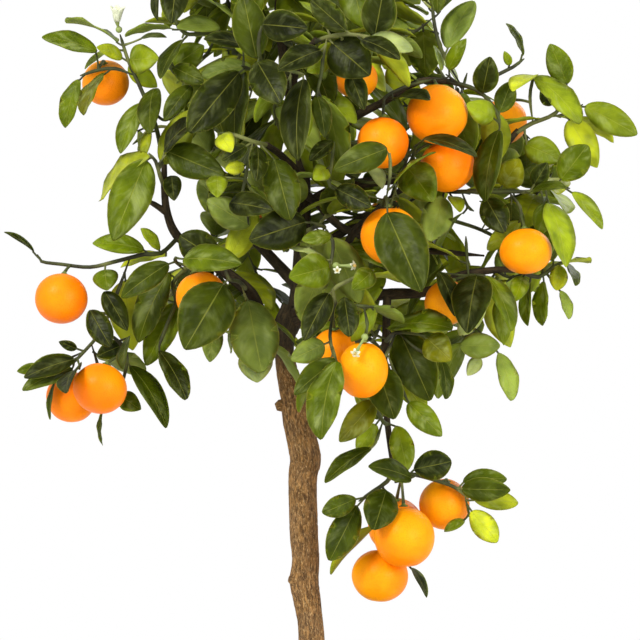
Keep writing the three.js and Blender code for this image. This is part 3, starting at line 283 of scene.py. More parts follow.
def cut_away(piece, name, points, faces):
    """Cuts a closed shape out of a piece."""
    cutter = mesh_object(name, points, faces)
    cut = piece.modifiers.new(name, "BOOLEAN")
    cut.operation, cut.solver, cut.object = "DIFFERENCE", "EXACT", cutter
    apply_modifiers(piece)
    bpy.data.objects.remove(cutter)


hole_points, hole_faces = turned(metres([
    (0, -DRAIN_CUT), (DRAIN_RADIUS, -DRAIN_CUT), (DRAIN_RADIUS, DRAIN_CUT), (0, DRAIN_CUT),
]), DRAIN_SIDES)
groove_points = metres(product(
    (DRAIN_RING, DRAIN_RING + POT_BASE_RADIUS), (-GROOVE_HALF_WIDTH, GROOVE_HALF_WIDTH),
    (-GROOVE_DEPTH, GROOVE_DEPTH),
))
groove_faces = [(0, 1, 3, 2), (4, 6, 7, 5), (0, 4, 5, 1), (2, 3, 7, 6), (0, 2, 6, 4), (1, 5, 7, 3)]
for i in range(DRAIN_COUNT):
    turn = Matrix.Rotation(2 * math.pi * (i + 0.5) / DRAIN_COUNT, 4, "Z")
    hole_at = turn @ Matrix.Translation((DRAIN_RING * MM, 0, 0))
    cut_away(pot, "drain_hole", [hole_at @ Vector(p) for p in hole_points], hole_faces)
    cut_away(pot, "drain_groove", [turn @ Vector(p) for p in groove_points], groove_faces)
pot.data.materials.append(finish_paint("bare_clay", clay_paint, specular_ior_level=0.25))
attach(pot, "root")
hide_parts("pot")


# Drainage screen: a round of black moulded plastic that lies on the pot's floor under the soil
# and keeps the soil from washing out through the holes.
def plain_paint(scale, detail, first, second, smoothest, step=None, rise=0.2):
    """Two colours mixed by a fine grain, which roughens the surface too."""
    def build(place):
        fine = place.grain(scale, detail)
        share = fine.between(*step) if step else fine
        return share.mix(first, second), fine * rise + smoothest

    return build


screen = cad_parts["drainage_screen"]
screen.data.materials.clear()
screen_paint = plain_paint(700, 3, (24, 24, 25), (40, 39, 38), 0.5)
screen.data.materials.append(finish_paint("moulded_plastic", screen_paint))


# Soil: dark peaty compost with small crumbs and a few white grains of perlite, filled to a
# little under the rim and heaped slightly to the stem.
def new_tree(name, **inputs):
    """An empty geometry tree, as the wire of its geometry, from its inputs' names by type."""
    tree = bpy.data.node_groups.new(name, "GeometryNodeTree")
    for kind, names in {"Geometry": ["Geometry"], **inputs}.items():
        for key in names:
            tree.interface.new_socket(key, in_out="INPUT", socket_type="NodeSocket" + kind)
    tree.interface.new_socket("Geometry", in_out="OUTPUT", socket_type="NodeSocketGeometry")
    return Wire(tree).add("NodeGroupInput")


def painted(geometry, material, is_smooth=True):
    """The geometry with its instances made real and one material on all of it."""
    real = geometry.add("GeometryNodeRealizeInstances", {"Geometry": geometry})
    if is_smooth:
        real = real.add("GeometryNodeSetShadeSmooth", {"Geometry": real})
    return real.add("GeometryNodeSetMaterial", {"Geometry": real, "Material": material})


def close_tree(parts):
    """Joins the painted parts to the tree's output."""
    joined = parts[0].add("GeometryNodeJoinGeometry")
    for part in parts:
        joined.tree.links.new(part.socket, joined.socket.node.inputs[0])
    joined.add("NodeGroupOutput", {"Geometry": joined})
    return joined.tree


def grow(piece, tree, values):
    """Runs a geometry tree on a piece, with its inputs set, and keeps the plain mesh."""
    modifier = piece.modifiers.new(tree.name, "NODES")
    modifier.node_group = tree
    for item in tree.interface.items_tree:
        if item.in_out == "INPUT" and item.name in values:
            modifier[item.identifier] = values[item.name]
    apply_modifiers(piece)


STEEPEST_STREWN, LUMP_LEAST, LUMP_MOST = 0.7, (0.6, 0.6, 0.5), (1.2, 1.1, 0.9)
ANY_TURN = (6.283, 6.283, 6.283)


def scatter_tree():
    """Small rough lumps, a few of them white, strewn over a mesh's upper faces."""
    ground = new_tree(
        "strewn_crumbs", Float=["Density", "Least Size", "Largest Size", "White Share"],
        Int=["Seed"], Material=["Crumb", "White Grain", "Ground"],
    )
    seed, least = ground["Seed"], ground["Least Size"]

    def drawn(kind, order, values):
        """A value drawn for each point."""
        return ground.add("FunctionNodeRandomValue", {**values, "Seed": seed + order},
                          data_type=kind)

    upward = ground.add("GeometryNodeInputNormal").parts()[2]
    is_upper = ground.add("FunctionNodeCompare", {0: upward, 1: STEEPEST_STREWN},
                          operation="GREATER_THAN")
    spots = ground.add("GeometryNodeDistributePointsOnFaces", {
        "Mesh": ground, "Density": ground["Density"], "Seed": seed, "Selection": is_upper,
    }, distribute_method="RANDOM")
    lump = ground.add("GeometryNodeMeshIcoSphere", {"Radius": 0.5, "Subdivisions": 1})
    size = drawn("FLOAT_VECTOR", 1, {"Min": LUMP_LEAST, "Max": LUMP_MOST})
    spread = drawn("FLOAT", 2, {"Min": 0.0, "Max": 1.0})
    length = least + (ground["Largest Size"] - least) * spread ** 2.0
    scale = size.add("ShaderNodeVectorMath", {"Vector": size, "Scale": length}, operation="SCALE")
    turn = drawn("FLOAT_VECTOR", 3, {"Min": (0, 0, 0), "Max": ANY_TURN})
    is_white = drawn("BOOLEAN", 4, {"Probability": ground["White Share"]})
    is_dark = is_white.add("FunctionNodeBooleanMath", {"Boolean": is_white}, operation="NOT")
    parts = [painted(ground, ground["Ground"], is_smooth=False)]
    for chosen, finish in ((is_dark, ground["Crumb"]), (is_white, ground["White Grain"])):
        strewn = lump.add("GeometryNodeInstanceOnPoints", {
            "Points": spots, "Selection": chosen, "Instance": lump, "Scale": scale,
            "Rotation": turn.add("FunctionNodeEulerToRotation", {"Euler": turn}),
        })
        parts.append(painted(strewn, finish, is_smooth=False))
    return close_tree(parts)


SOIL_TOP, GAP, SCREEN_THICKNESS, SOIL_RINGS, SOIL_SIDES = 108, 0.3, 1.4, 26, 72
SOIL_LUMP, LUMPY_ABOVE, LUMPS_A_METRE, LUMP_FRACTAL = 0.0022, 0.1, 55, (0.8, 2.2, 4)
SOIL_DISH, SOIL_BANK, SOIL_HEAP, SOIL_PEAK = 5, 4, 4, 2.7
soil_rim, soil_foot = neck - POT_WALL - 2 * GAP, foot - POT_WALL - GAP
soil_bottom = POT_FLOOR + 2 * GAP + SCREEN_THICKNESS
soil_profile = [
    (0, soil_bottom), (soil_foot - 2, soil_bottom), (soil_foot + 11, 36), (soil_foot + 23, 82),
]
for i in range(SOIL_RINGS):
    radius = soil_rim * (1 - i / SOIL_RINGS)
    slope = (soil_rim - radius) / soil_rim
    bank, heap = SOIL_BANK * min(1, 3 * slope), SOIL_HEAP * max(0, slope - 1 / 3)
    soil_profile.append((radius, SOIL_TOP - SOIL_DISH + bank + heap))
soil_profile.append((0, SOIL_TOP + SOIL_PEAK))
soil_points, soil_faces = turned(metres(soil_profile), SOIL_SIDES)
for i, (x, y, z) in enumerate(soil_points):
    if z > LUMPY_ABOVE:
        lump = noise.fractal(Vector((x, y, z)) * LUMPS_A_METRE, *LUMP_FRACTAL)
        soil_points[i] = (x, y, z + SOIL_LUMP * lump)
soil = mesh_object("potting_soil", soil_points, soil_faces)


def soil_paint(place):
    fine = place.grain(420, 5, 0.65)
    colour = fine.between(0.35, 0.68).mix((38, 27, 20), (78, 58, 42))
    return colour, fine * 0.1 + 0.9, fine.bump(0.0012, 0.9)


def crumb_paint(place):
    fine = place.grain(800, 3)
    colour = place.grain(140, 1).between(0.3, 0.7).mix((46, 32, 23), (96, 70, 48))
    return fine.between(0.3, 0.8).mix(colour, (60, 44, 32)), fine * 0.06 + 0.92


perlite_paint = plain_paint(900, 3, (206, 202, 192), (236, 234, 228), 0.85, rise=0.1)
grow(soil, scatter_tree(), {
    "Density": 42000.0, "Least Size": 0.0018, "Largest Size": 0.0062, "White Share": 0.03,
    "Seed": 5, "Crumb": finish_paint("peat_crumb", crumb_paint, specular_ior_level=0.2),
    "White Grain": finish_paint("perlite", perlite_paint, specular_ior_level=0.2),
    "Ground": finish_paint("peat", soil_paint, specular_ior_level=0.2),
})
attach(soil, "root")
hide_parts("soil")


# Trunk and limbs: one woody stem, bare to the fork, with tan bark in fine upright fissures,
# grey specks and the stubs of cut shoots; the limbs leave it in collars and thin outwards.
# Each row is a place and a radius in millimetres.
VIEW_X, VIEW_Z, VIEW_DISTANCE = 3, 439, 2600
TRUNK = [
    (2, 0, 62, 7), (1, 0, 104, 15), (0, 0, 122, 11.5), (-1, 0, 160, 9.8), (-3, 0, 215, 9.1),
    (-4, 0, 229, 9.1), (-6, 0, 243, 9.8), (-8, 0, 257, 10.3), (-7, 0, 271, 9.8),
    (-8.5, 0, 292, 10.1), (-9, 0, 327, 10), (-7, 0, 341, 10.8), (-9.5, 0, 355, 10.6),
    (-12, 0, 369, 11.3), (-12.6, 0, 381, 12.6), (-16, 0, 390, 9.8), (-19, 0, 398, 7.8),
    (-22, 0, 418, 7), (-21, 0, 434, 8.4), (-17, 2, 448, 7),
]
KNOBS = [
    [(-14, 0, 380, 5), (-25, -2, 379, 4.4), (-28, -2, 378, 2.6)],
    [(-10, 0, 383, 5), (-1, -3, 382, 4), (2, -4, 382, 2.2)],
    [(-9, 0, 255, 6), (-15, -4, 257, 5), (-18.6, -5, 258, 2.4)],
]
ROOTS = [
    [(0, 0, 106, 9), (-22, -10, 104, 6), (-46, -18, 92, 3.6)],
    [(0, 0, 106, 9), (20, -16, 104, 6.4), (42, -34, 90, 3.6)],
    [(0, 0, 106, 8), (14, 20, 103, 5.6), (26, 44, 90, 3.2)],
    [(0, 0, 104, 8), (-14, 20, 101, 5), (-34, 38, 86, 3)],
]
LIMBS = [
    [(-23, 0, 424, 6.4), (-38, -8, 442, 5.2), (-46, -14, 458, 4.6), (-64, -20, 473, 4.1),
     (-80, -25, 485, 3.6), (-97, -30, 498, 3.2), (-104, -34, 514, 2.8), (-106, -38, 532, 2.4),
     (-106, -41, 548, 2)],
    [(-104, -34, 514, 2.6), (-113, -36, 520, 2), (-121, -36, 524, 0.7)],
    [(-20, 0, 432, 7.6), (-12, 4, 453, 6.8), (-9, 5, 509, 5.5), (-9, 5, 547, 4.8),
     (-13, 6, 565, 4.3), (-20, 7, 610, 3.6), (-26, 6, 650, 3), (-24, 4, 688, 2)],
    [(-18, 0, 438, 6), (17, -15, 453, 4.6), (50, -28, 457, 4), (73, -34, 458, 3.5),
     (87, -38, 462, 3.1), (101, -42, 470, 2.8), (125, -45, 474, 2.4), (143, -45, 474, 2)],
    [(17, -15, 453, 3.6), (19, -20, 474, 3.2), (25, -32, 498, 2.8), (39, -50, 512, 2.4),
     (48, -70, 520, 2)],
    [(-9, 5, 547, 3.8), (13, -8, 566, 3.2), (24, -18, 579, 3), (48, -30, 592, 2.6),
     (73, -38, 606, 2.2), (95, -42, 606, 2)],
    [(-9, 5, 518, 4.2), (17, 2, 532, 3.8), (59, -8, 538, 3.4), (94, -20, 545, 3),
     (129, -26, 560, 2.5), (142, -28, 572, 2)],
    [(-9, 5, 528, 3.4), (1, -5, 521, 3.1), (20, -14, 503, 2.8), (60, -22, 490, 2.4),
     (95, -26, 486, 2), (118, -30, 484, 0.7)],
    [(50, -28, 457, 3), (49, -40, 425, 2.7), (47, -48, 400, 2.5), (50, -52, 369, 2.2),
     (53, -56, 345, 2), (57, -58, 325, 1.7)],
    [(-12, 4, 462, 4.5), (-35, 35, 487, 3.8), (-60, 70, 515, 3), (-75, 100, 545, 2.2)],
    [(-9, 5, 482, 4.5), (20, 40, 502, 3.8), (55, 75, 525, 3), (80, 105, 555, 2.2)],
    [(-13, 6, 572, 3.6), (-5, 40, 600, 3), (5, 75, 630, 2.4), (10, 95, 655, 1.8)],
    [(-15, 2, 447, 4), (-5, 35, 440, 3.4), (15, 70, 435, 2.8), (30, 100, 430, 2)],
    [(-16, 6, 590, 3.2), (-15, -30, 610, 2.8), (-8, -60, 625, 2.4), (0, -85, 635, 2)],
    [(-9, 5, 537, 3.2), (-15, -30, 545, 2.8), (-25, -60, 555, 2.4), (-35, -80, 562, 2)],
    [(-16, 0, 444, 3.6), (-5, -30, 448, 3), (5, -60, 450, 2.6), (10, -85, 440, 2)],
]


def judged(row):
    """A place judged from the front, opened out or drawn in for its depth."""
    x, y, z = row[:3]
    opened = 1 + y / VIEW_DISTANCE
    return np.array([VIEW_X + (x - VIEW_X) * opened, y, VIEW_Z + (z - VIEW_Z) * opened])


def unit(vector):
    return vector / np.linalg.norm(vector)


def smoothed(line, step):
    """A line of places and radii as a curve through them, with a station every step or so."""
    places, radii = zip(*line)
    ends = [2 * places[0] - places[1], *places, 2 * places[-1] - places[-2]]
    made = []
    for i in range(len(places) - 1):
        before, start, end, after = ends[i : i + 4]
        count = max(1, round(np.linalg.norm(end - start) / step))
        for k in range(count):
            t = k / count
            bend = 0.5 * (
                2 * start + (end - before) * t
                + (2 * before - 5 * start + 4 * end - after) * t * t
                + (3 * start - before - 3 * end + after) * t ** 3
            )
            ease = t * t * (3 - 2 * t)
            made.append((bend, radii[i] + (radii[i + 1] - radii[i]) * ease))
    return made + [(places[-1], radii[-1])]


WAVES_A_METRE, ROUGHNESS_A_METRE, ROUGH_SHARE = (90, 90, 28), 380, 0.4
MOST_ALIGNED = 0.95
wood_points, wood_faces, wood_grains = [], [], []


def add_wood(line, sides, lumps):
    """Adds a closed tube along a line, its bark swollen by lumps of a share of the radius."""
    first, along, across = len(wood_points), 0.0, np.array([1.0, 0, 0])
    for i, (at, radius) in enumerate(line):
        heading = unit(line[min(i + 1, len(line) - 1)][0] - line[max(i - 1, 0)][0])
        if abs(across @ heading) > MOST_ALIGNED:
            across = np.array([0, 1.0, 0])
        across = unit(across - heading * (across @ heading))
        second = np.cross(heading, across)
        if i:
            along += np.linalg.norm(at - line[i - 1][0])
        for k in range(sides):
            turn = 2 * math.pi * k / sides
            out = across * math.cos(turn) + second * math.sin(turn)
            sample = Vector(at + out * radius) * MM
            wave = noise.noise(sample * Vector(WAVES_A_METRE))
            rough = noise.noise(sample * ROUGHNESS_A_METRE)
            reach = radius * (1 + lumps * wave + ROUGH_SHARE * lumps * rough)
            wood_points.append(at + out * reach)
            wood_grains.append((radius * math.cos(turn), radius * math.sin(turn), along))
    wood_points.extend((line[0][0], line[-1][0]))
    wood_grains.extend(((0, 0, 0), (0, 0, along)))
    tip = len(wood_points) - 1
    wood_faces.extend(skin(first, len(line), sides, tip - 1, tip))


def add_layer(mesh, name, kind, values):
    """Gives each of a mesh's points a value under a name."""
    field = {"FLOAT_VECTOR": "vector", "FLOAT_COLOR": "color"}.get(kind, "value")
    layer = mesh.attributes.new(name, kind, "POINT")
    layer.data.foreach_set(field, np.array(values).ravel().tolist())


trunk_lines, root_lines, limb_lines = (
    [[(judged(row), row[3]) for row in rows] for rows in lines]
    for lines in ([TRUNK], ROOTS, KNOBS + LIMBS)
)
for lines, step, sides, lumps in (
    (trunk_lines, 2.2, 40, 0.07), (root_lines, 3, 16, 0.05), (limb_lines, 3, 14, 0.05),
):
    for line in lines:
        add_wood(smoothed(line, step), sides, lumps)
wood = mesh_object("woody_stem", np.array(wood_points) * MM, wood_faces)
add_layer(wood.data, "bark_place", "FLOAT_VECTOR", np.array(wood_grains) * MM)


def bark_paint(place):
    spot = place.add("ShaderNodeAttribute", attribute_name="bark_place")["Vector"]
    flakes = spot.grain(560, 5, 0.72, (1, 1, 0.24))
    winding = spot.grain(380, 6, 0.66, (1, 1, 0.26))
    specks = spot.grain(800, 4, 0.7, (1, 1, 0.5))
    bark = flakes.between(0.32, 0.68).mix((84, 58, 30), (168, 126, 72))
    greyed = (place.grain(70, 4).between(0.4, 0.66) * 0.35).mix(bark, (108, 86, 64))
    fissures = 1 - (winding - 0.5).maths("ABSOLUTE").between(0.004, 0.042)
    cracked = (fissures * 0.5).mix(greyed, (54, 39, 23))
    speckled = (specks.between(0.53, 0.64) * 0.5).mix(cracked, (206, 172, 120))
    # Above the fork, and on the hanging limb at the right, the bark turns near black: partly the
    # limbs' own darker bark, partly painted shade under the crown.
    side, _, height = place.parts()
    hanging = side.between(0.03, 0.045) * height.between(0.2, 0.25)
    dark_limbs_and_shade = height.between(0.395, 0.422).maths("MAXIMUM", hanging)
    limb = flakes.between(0.35, 0.65).mix((34, 31, 22), (56, 50, 34))
    relief = (flakes * 0.5 - fissures * 0.5).bump(0.0012, 0.7)
    return (dark_limbs_and_shade * 0.93).mix(speckled, limb), specks * 0.2 + 0.78, relief


wood.data.materials.append(finish_paint("fissured_bark", bark_paint, specular_ior_level=0.25))
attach(wood, "root")
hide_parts("trunk_and_limbs")


# Leafy sprays: each is a green twig grown out of a limb, with its side twigs, the stalks of its
# fruit, and leathery leaves on short stalks of their own.

# In millimetres, a twig is stations [x, y, z], a leaf [stalk x, stalk z, tip x, tip z, width,
# how far its tip comes back] as the front shows it, and a fruit [x, y, z, radius, height over
# width]; "more" leaves are set by rule, and each of the others has a letter for its colour,
# which is its own tone with painted light and shade.
SPRAYS = {
    "top_left": dict(more=2, tones="MLYYMOGMDLSD", twigs=[
        [[-106, -40, 545], [-112, -36, 575], [-122, -30, 600], [-131, -26, 620], [-137, -30, 639]],
        [[-127, -28, 611], [-140, -30, 615], [-152, -29, 614], [-165, -26, 610]],
    ], leaves=[
        [-153, 627, -192, 636, 14, -8], [-134, 622, -153, 630, 10, -18],
        [-131, 621, -109, 622, 21, -22], [-131, 617, -111, 602, 14, -14],
        [-165, 609, -176, 574, 14, -6], [-147, 613, -163, 584, 11, -30],
        [-141, 629, -162, 615, 5, -20], [-121, 592, -137, 556, 15, -12],
        [-113, 601, -116, 570, 17, -14], [-116, 572, -120, 553, 8, -10],
        [-125, 572, -123, 556, 5, 14], [-123, 636, -104, 636, 5, -12],
    ], fruit=[[-147, -2, 605, 16.5, 0.95]]),
    "left_upper": dict(more=2, tones="MLDKK", twigs=[
        [[-106, -38, 532], [-109, -50, 540], [-112, -56, 550], [-117, -58, 556]],
    ], leaves=[
        [-118, 553, -142, 494, 29, -16], [-116, 554, -153, 524, 16, 24],
        [-104, 557, -63, 540, 24, -18], [-101, 540, -99, 523, 13, -18],
        [-106, 558, -81, 579, 14, -8],
    ]),
    "top_left_outer": dict(more=3, tones="KKGDMDD", twigs=[
        [[-24, 5, 640], [-50, -25, 640], [-75, -50, 640], [-92, -58, 640], [-101, -58, 655],
         [-107, -56, 676]],
        [[-88, -57, 640], [-98, -62, 628], [-102, -64, 616], [-90, -68, 605]],
    ], leaves=[
        [-109, 677, -111, 649, 6, -12], [-97, 678, -101, 647, 20, -18],
        [-66, 644, -97, 644, 13, -16], [-92, 638, -108, 607, 11, -14],
        [-102, 615, -78, 631, 21, -20], [-102, 617, -79, 606, 14, -10],
        [-87, 603, -106, 579, 14, -10],
    ]),
    "top_left_inner": dict(more=3, tones="KGKDL", twigs=[
        [[-19, 6, 602], [-30, -30, 608], [-42, -62, 613], [-52, -84, 617]],
    ], leaves=[
        [-50, 631, -78, 636, 11, -16], [-43, 617, -81, 610, 15, -6], [-53, 613, -88, 571, 28, -20],
        [-51, 613, -55, 559, 20, -30], [-46, 596, -52, 565, 7, 6],
    ]),
    "top_centre_left": dict(more=3, tones="DKKKG", twigs=[
        [[-16, -28, 609], [-28, -70, 616], [-38, -100, 620], [-40, -112, 634], [-38, -114, 645]],
        [[-28, -70, 616], [-16, -98, 613], [-8, -110, 611]], [[-18, -94, 613], [-18, -100, 596]],
    ], leaves=[
        [-41, 620, -51, 667, 24, -10], [-38, 646, -6, 643, 22, -18], [-41, 620, -25, 592, 25, -26],
        [-8, 611, -13, 551, 21, -18], [-18, 593, -16, 558, 14, -2],
    ]),
    "centre_upper_left": dict(more=3, tones="LKKLDKYG", twigs=[
        [[-33, -77, 561], [-44, -92, 564], [-58, -98, 569], [-67, -98, 570]],
        [[-44, -92, 564], [-48, -90, 545], [-52, -88, 524]],
    ], leaves=[
        [-67, 570, -59, 557, 14, -22], [-45, 563, -65, 551, 11, -12],
        [-41, 564, -41, 537, 13, -16], [-46, 548, -63, 544, 10, -16],
        [-29, 552, -18, 510, 25, -24], [-60, 521, -29, 515, 18, -26],
        [-69, 540, -69, 524, 15, -20], [-46, 505, -76, 523, 21, -10],
    ]),
    "top_centre": dict(more=3, tones="KKKYKSKDYK", twigs=[
        [[-2, -79, 633], [8, -100, 637], [22, -112, 639], [40, -116, 637]],
        [[8, -100, 637], [5, -106, 622], [4, -108, 612], [1, -110, 598]],
        [[16, -108, 638], [27, -94, 628]],
    ], leaves=[
        [6, 629, -27, 613, 18, -20], [8, 636, 38, 610, 31, -22], [25, 638, -3, 663, 17, -10],
        [10, 641, -11, 663, 7, 6], [41, 636, 48, 673, 24, -8], [36, 635, 68, 628, 15, -16],
        [32, 635, 59, 622, 13, 4], [1, 596, 6, 566, 13, -8], [6, 618, -6, 613, 10, -24],
        [24, 612, 34, 586, 15, -6],
    ], fruit=[[29, -62, 608, 14, 0.97]]),
    "top_right": dict(more=4, tones="DMGKYDYDKD", twigs=[
        [[92, -42, 606], [108, -48, 602], [118, -52, 596], [127, -54, 584], [129, -56, 574]],
        [[100, -45, 604], [91, -47, 611]],
        [[110, -49, 601], [128, -48, 611], [138, -46, 616], [146, -44, 622]],
        [[100, -45, 604], [88, -44, 628], [82, -44, 655], [85, -44, 677]],
        [[91, -47, 611], [68, -50, 604], [50, -60, 596], [47, -76, 590]],
    ], leaves=[
        [85, 677, 85, 653, 13, -14], [92, 613, 106, 636, 11, -10], [88, 612, 82, 631, 5, -6],
        [116, 595, 122, 623, 18, -16], [137, 615, 132, 627, 6, -10], [146, 622, 134, 647, 6, -8],
        [127, 579, 106, 590, 17, -22], [127, 580, 137, 606, 15, -8], [54, 593, 80, 591, 11, -26],
        [129, 574, 118, 522, 18, -14],
    ], fruit=[[85, -66, 583, 21, 0.97], [47, -85, 563, 17.5, 1]]),
    "right_outer": dict(more=1, tones="MYLYLKY", twigs=[
        [[140, -28, 570], [152, -30, 577], [163, -32, 581], [172, -32, 588], [177, -32, 601]],
        [[163, -32, 581], [178, -34, 584], [187, -34, 590]],
        [[152, -30, 577], [150, -34, 595], [152, -36, 609]],
    ], leaves=[
        [176, 604, 164, 632, 18, -10], [152, 610, 186, 578, 18, -16],
        [153, 610, 138, 600, 10, -12], [186, 590, 225, 569, 20, -6], [176, 582, 197, 545, 21, -10],
        [168, 590, 158, 601, 14, -20], [147, 562, 172, 551, 20, -18],
    ], fruit=[[132, 4, 578, 16, 1]]),
    "right_middle": dict(more=2, tones="MKDYOGYKLMY", twigs=[
        [[80, -16, 542], [90, -32, 530], [111, -46, 529], [135, -50, 529], [150, -48, 529],
         [168, -44, 533], [178, -42, 531]],
        [[135, -50, 529], [143, -52, 518], [144, -55, 508]],
    ], leaves=[
        [169, 534, 190, 561, 22, -8], [150, 529, 162, 549, 13, -10], [150, 528, 176, 530, 8, -16],
        [178, 530, 201, 503, 11, -6], [129, 530, 143, 552, 21, -14], [90, 528, 80, 495, 22, -24],
        [95, 526, 101, 515, 10, -16], [118, 526, 132, 501, 20, -14], [143, 508, 120, 488, 14, -10],
        [160, 521, 157, 498, 14, -8], [163, 521, 174, 475, 20, -10],
    ], fruit=[[147, -64, 487, 18, 0.87]]),
    "right_inner": dict(more=3, tones="MSK", twigs=[
        [[58, -8, 538], [62, -40, 545], [63, -60, 549]],
        [[62, -40, 545], [68, -50, 553], [70, -66, 562]],
    ], leaves=[
        [62, 549, 83, 521, 27, -30], [39, 547, 46, 530, 11, -20], [75, 566, 113, 554, 10, -8],
    ], fruit=[[92, -46, 547, 19, 0.95]]),
    "right_side": dict(more=1, tones="LDGMMM", twigs=[
        [[141, -45, 474], [156, -40, 469], [166, -38, 476], [172, -38, 480]],
    ], leaves=[
        [171, 480, 169, 460, 13, -8], [173, 480, 183, 464, 6, -4], [171, 460, 178, 440, 8, -6],
        [160, 470, 158, 435, 11, -8], [150, 468, 148, 435, 8, -10], [146, 472, 139, 452, 13, -18],
    ]),
    "right_lower": dict(more=2, tones="MKSGYGSK", twigs=[
        [[100, -42, 469], [112, -54, 470], [121, -60, 468], [127, -62, 455]],
        [[112, -54, 470], [116, -62, 450], [110, -68, 432], [100, -72, 424]],
        [[112, -66, 436], [120, -70, 424], [127, -68, 419]],
    ], leaves=[
        [120, 470, 138, 432, 15, -8], [113, 470, 106, 428, 27, -22], [99, 428, 118, 447, 13, -18],
        [101, 421, 129, 421, 18, -18], [127, 453, 131, 421, 13, -6], [127, 419, 138, 383, 14, -8],
        [115, 413, 106, 400, 10, -12], [86, 473, 98, 442, 13, -6],
    ], fruit=[[92, -62, 451, 15.5, 1]]),
    "low_right_centre": dict(more=3, tones="OMDDDM", twigs=[
        [[49, -41, 424], [56, -64, 430], [66, -78, 430], [77, -82, 428]],
        [[59, -68, 430], [72, -78, 418], [86, -80, 413]],
        [[56, -64, 430], [50, -70, 416], [44, -74, 408]],
        [[50, -70, 416], [57, -78, 398], [64, -80, 383]],
    ], leaves=[
        [76, 428, 95, 410, 21, -18], [50, 433, 95, 435, 14, -22], [59, 430, 80, 383, 31, -26],
        [87, 413, 92, 384, 10, -8], [43, 407, 55, 370, 25, -24], [64, 382, 88, 358, 17, -18],
    ]),
    "centre_right": dict(more=3, tones="DDKYK", twigs=[
        [[47, -68, 519], [49, -90, 525], [50, -112, 521]],
        [[48, -84, 524], [28, -90, 528], [10, -92, 533], [11, -96, 547], [13, -98, 564]],
        [[49, -96, 525], [52, -108, 540], [52, -112, 556]],
    ], leaves=[
        [50, 514, 74, 458, 35, -22], [50, 559, 12, 544, 20, -14], [10, 533, 38, 519, 17, -22],
        [10, 547, -2, 537, 13, -18], [13, 565, -4, 551, 11, -14],
    ], fruit=[[52, -92, 498, 20, 0.97]]),
    "centre": dict(more=4, tones="KMSM", twigs=[
        [[-9, 1, 500], [2, -50, 505], [6, -80, 504], [-4, -92, 508]],
        [[6, -80, 504], [12, -90, 494], [11, -96, 478]],
    ], leaves=[
        [-6, 508, -46, 495, 28, -20], [13, 498, -9, 495, 11, -16], [10, 480, -19, 490, 5, -14],
        [10, 476, -18, 469, 24, -22],
    ]),
    "centre_low": dict(more=3, tones="KKYMGDM", twigs=[
        [[9, -82, 441], [14, -94, 450], [12, -98, 460], [26, -102, 468], [41, -104, 474]],
        [[14, -94, 450], [30, -98, 449], [41, -100, 448]],
        [[12, -91, 447], [10, -98, 428], [13, -98, 412]],
        [[34, -98, 449], [36, -108, 437], [36, -111, 430]],
    ], leaves=[
        [11, 461, -8, 425, 18, -20], [20, 455, 24, 428, 17, -22], [41, 447, 25, 424, 13, -12],
        [41, 474, 25, 460, 15, -18], [10, 424, -18, 411, 17, -22], [15, 411, -15, 386, 17, -14],
        [15, 410, 3, 357, 23, -26],
    ], fruit=[[33, -100, 404, 17, 1.12], [13, -66, 417, 15.5, 1]]),
    "hanging_upper": dict(more=2, tones="OYDY", twigs=[
        [[50, -53, 366], [47, -64, 368], [42, -72, 378]],
        [[47, -64, 368], [43, -72, 356], [41, -74, 351]],
    ], leaves=[
        [41, 382, 17, 354, 18, -16], [45, 370, 29, 347, 14, -10], [41, 351, 7, 324, 11, -14],
        [57, 365, 64, 334, 17, -14],
    ]),
    "hanging_left": dict(more=1, tones="DDDK", twigs=[
        [[55, -57, 335], [50, -66, 326], [40, -70, 319], [30, -70, 312]],
        [[48, -67, 324], [46, -56, 306], [45.5, -47, 284]],
        [[45.7, -49, 288], [55, -34, 276], [66, -32, 268]],
    ], leaves=[
        [50, 322, 41, 293, 24, -26], [31, 315, 5, 304, 15, -10], [29, 309, 10, 271, 21, -14],
        [66, 267, 78, 245, 6, -6],
    ], fruit=[[45, -44, 260, 19.5, 0.93]]),
    "hanging_right": dict(more=1, tones="KDDMLLM", twigs=[
        [[57, -58, 327], [66, -64, 331], [80, -60, 328], [97, -55, 322], [107, -54, 314]],
        [[106, -54, 315], [108, -52, 300]],
    ], leaves=[
        [66, 334, 95, 340, 21, -16], [67, 328, 36, 336, 14, -22], [98, 321, 136, 320, 17, -14],
        [103, 326, 134, 328, 13, 2], [110, 313, 142, 311, 14, -4], [106, 309, 127, 284, 17, -8],
        [106, 300, 90, 291, 7, -14],
    ], fruit=[[62, -67, 287, 20.8, 1], [90, -36, 310, 17.5, 1], [56, -23, 295, 19.4, 1]]),
    "left_middle": dict(more=2, tones="KMYLMKKKDMKKDDDDKD", twigs=[
        [[-96, -30, 497], [-108, -38, 486], [-120, -38, 485], [-140, -34, 480], [-158, -30, 476],
         [-178, -24, 478], [-192, -24, 480], [-195, -24, 485]],
        [[-130, -36, 483], [-139, -42, 458], [-150, -46, 432], [-162, -46, 417], [-172, -44, 407]],
        [[-161, -46, 418], [-180, -40, 409], [-190, -38, 407]],
        [[-150, -46, 432], [-138, -48, 424], [-132, -50, 412], [-137, -44, 388]],
        [[-158, -46, 422], [-152, -34, 404], [-150, -33, 377]],
    ], leaves=[
        [-195, 485, -218, 501, 4, -4], [-118, 488, -156, 493, 14, -10],
        [-107, 485, -122, 503, 8, -12], [-104, 484, -137, 477, 8, -14],
        [-148, 477, -146, 460, 18, -16], [-148, 459, -132, 431, 15, -10],
        [-158, 446, -144, 421, 17, -14], [-165, 413, -204, 398, 15, -8],
        [-169, 405, -205, 389, 13, -12], [-190, 407, -209, 403, 8, 2],
        [-165, 418, -180, 424, 7, -6], [-165, 405, -175, 389, 10, -30],
        [-182, 396, -185, 369, 4, -8], [-149, 375, -150, 351, 4, 4],
        [-137, 386, -122, 376, 14, -12], [-132, 410, -104, 364, 14, -10],
        [-134, 422, -153, 414, 13, -18], [-130, 428, -134, 404, 8, -14],
    ], fruit=[
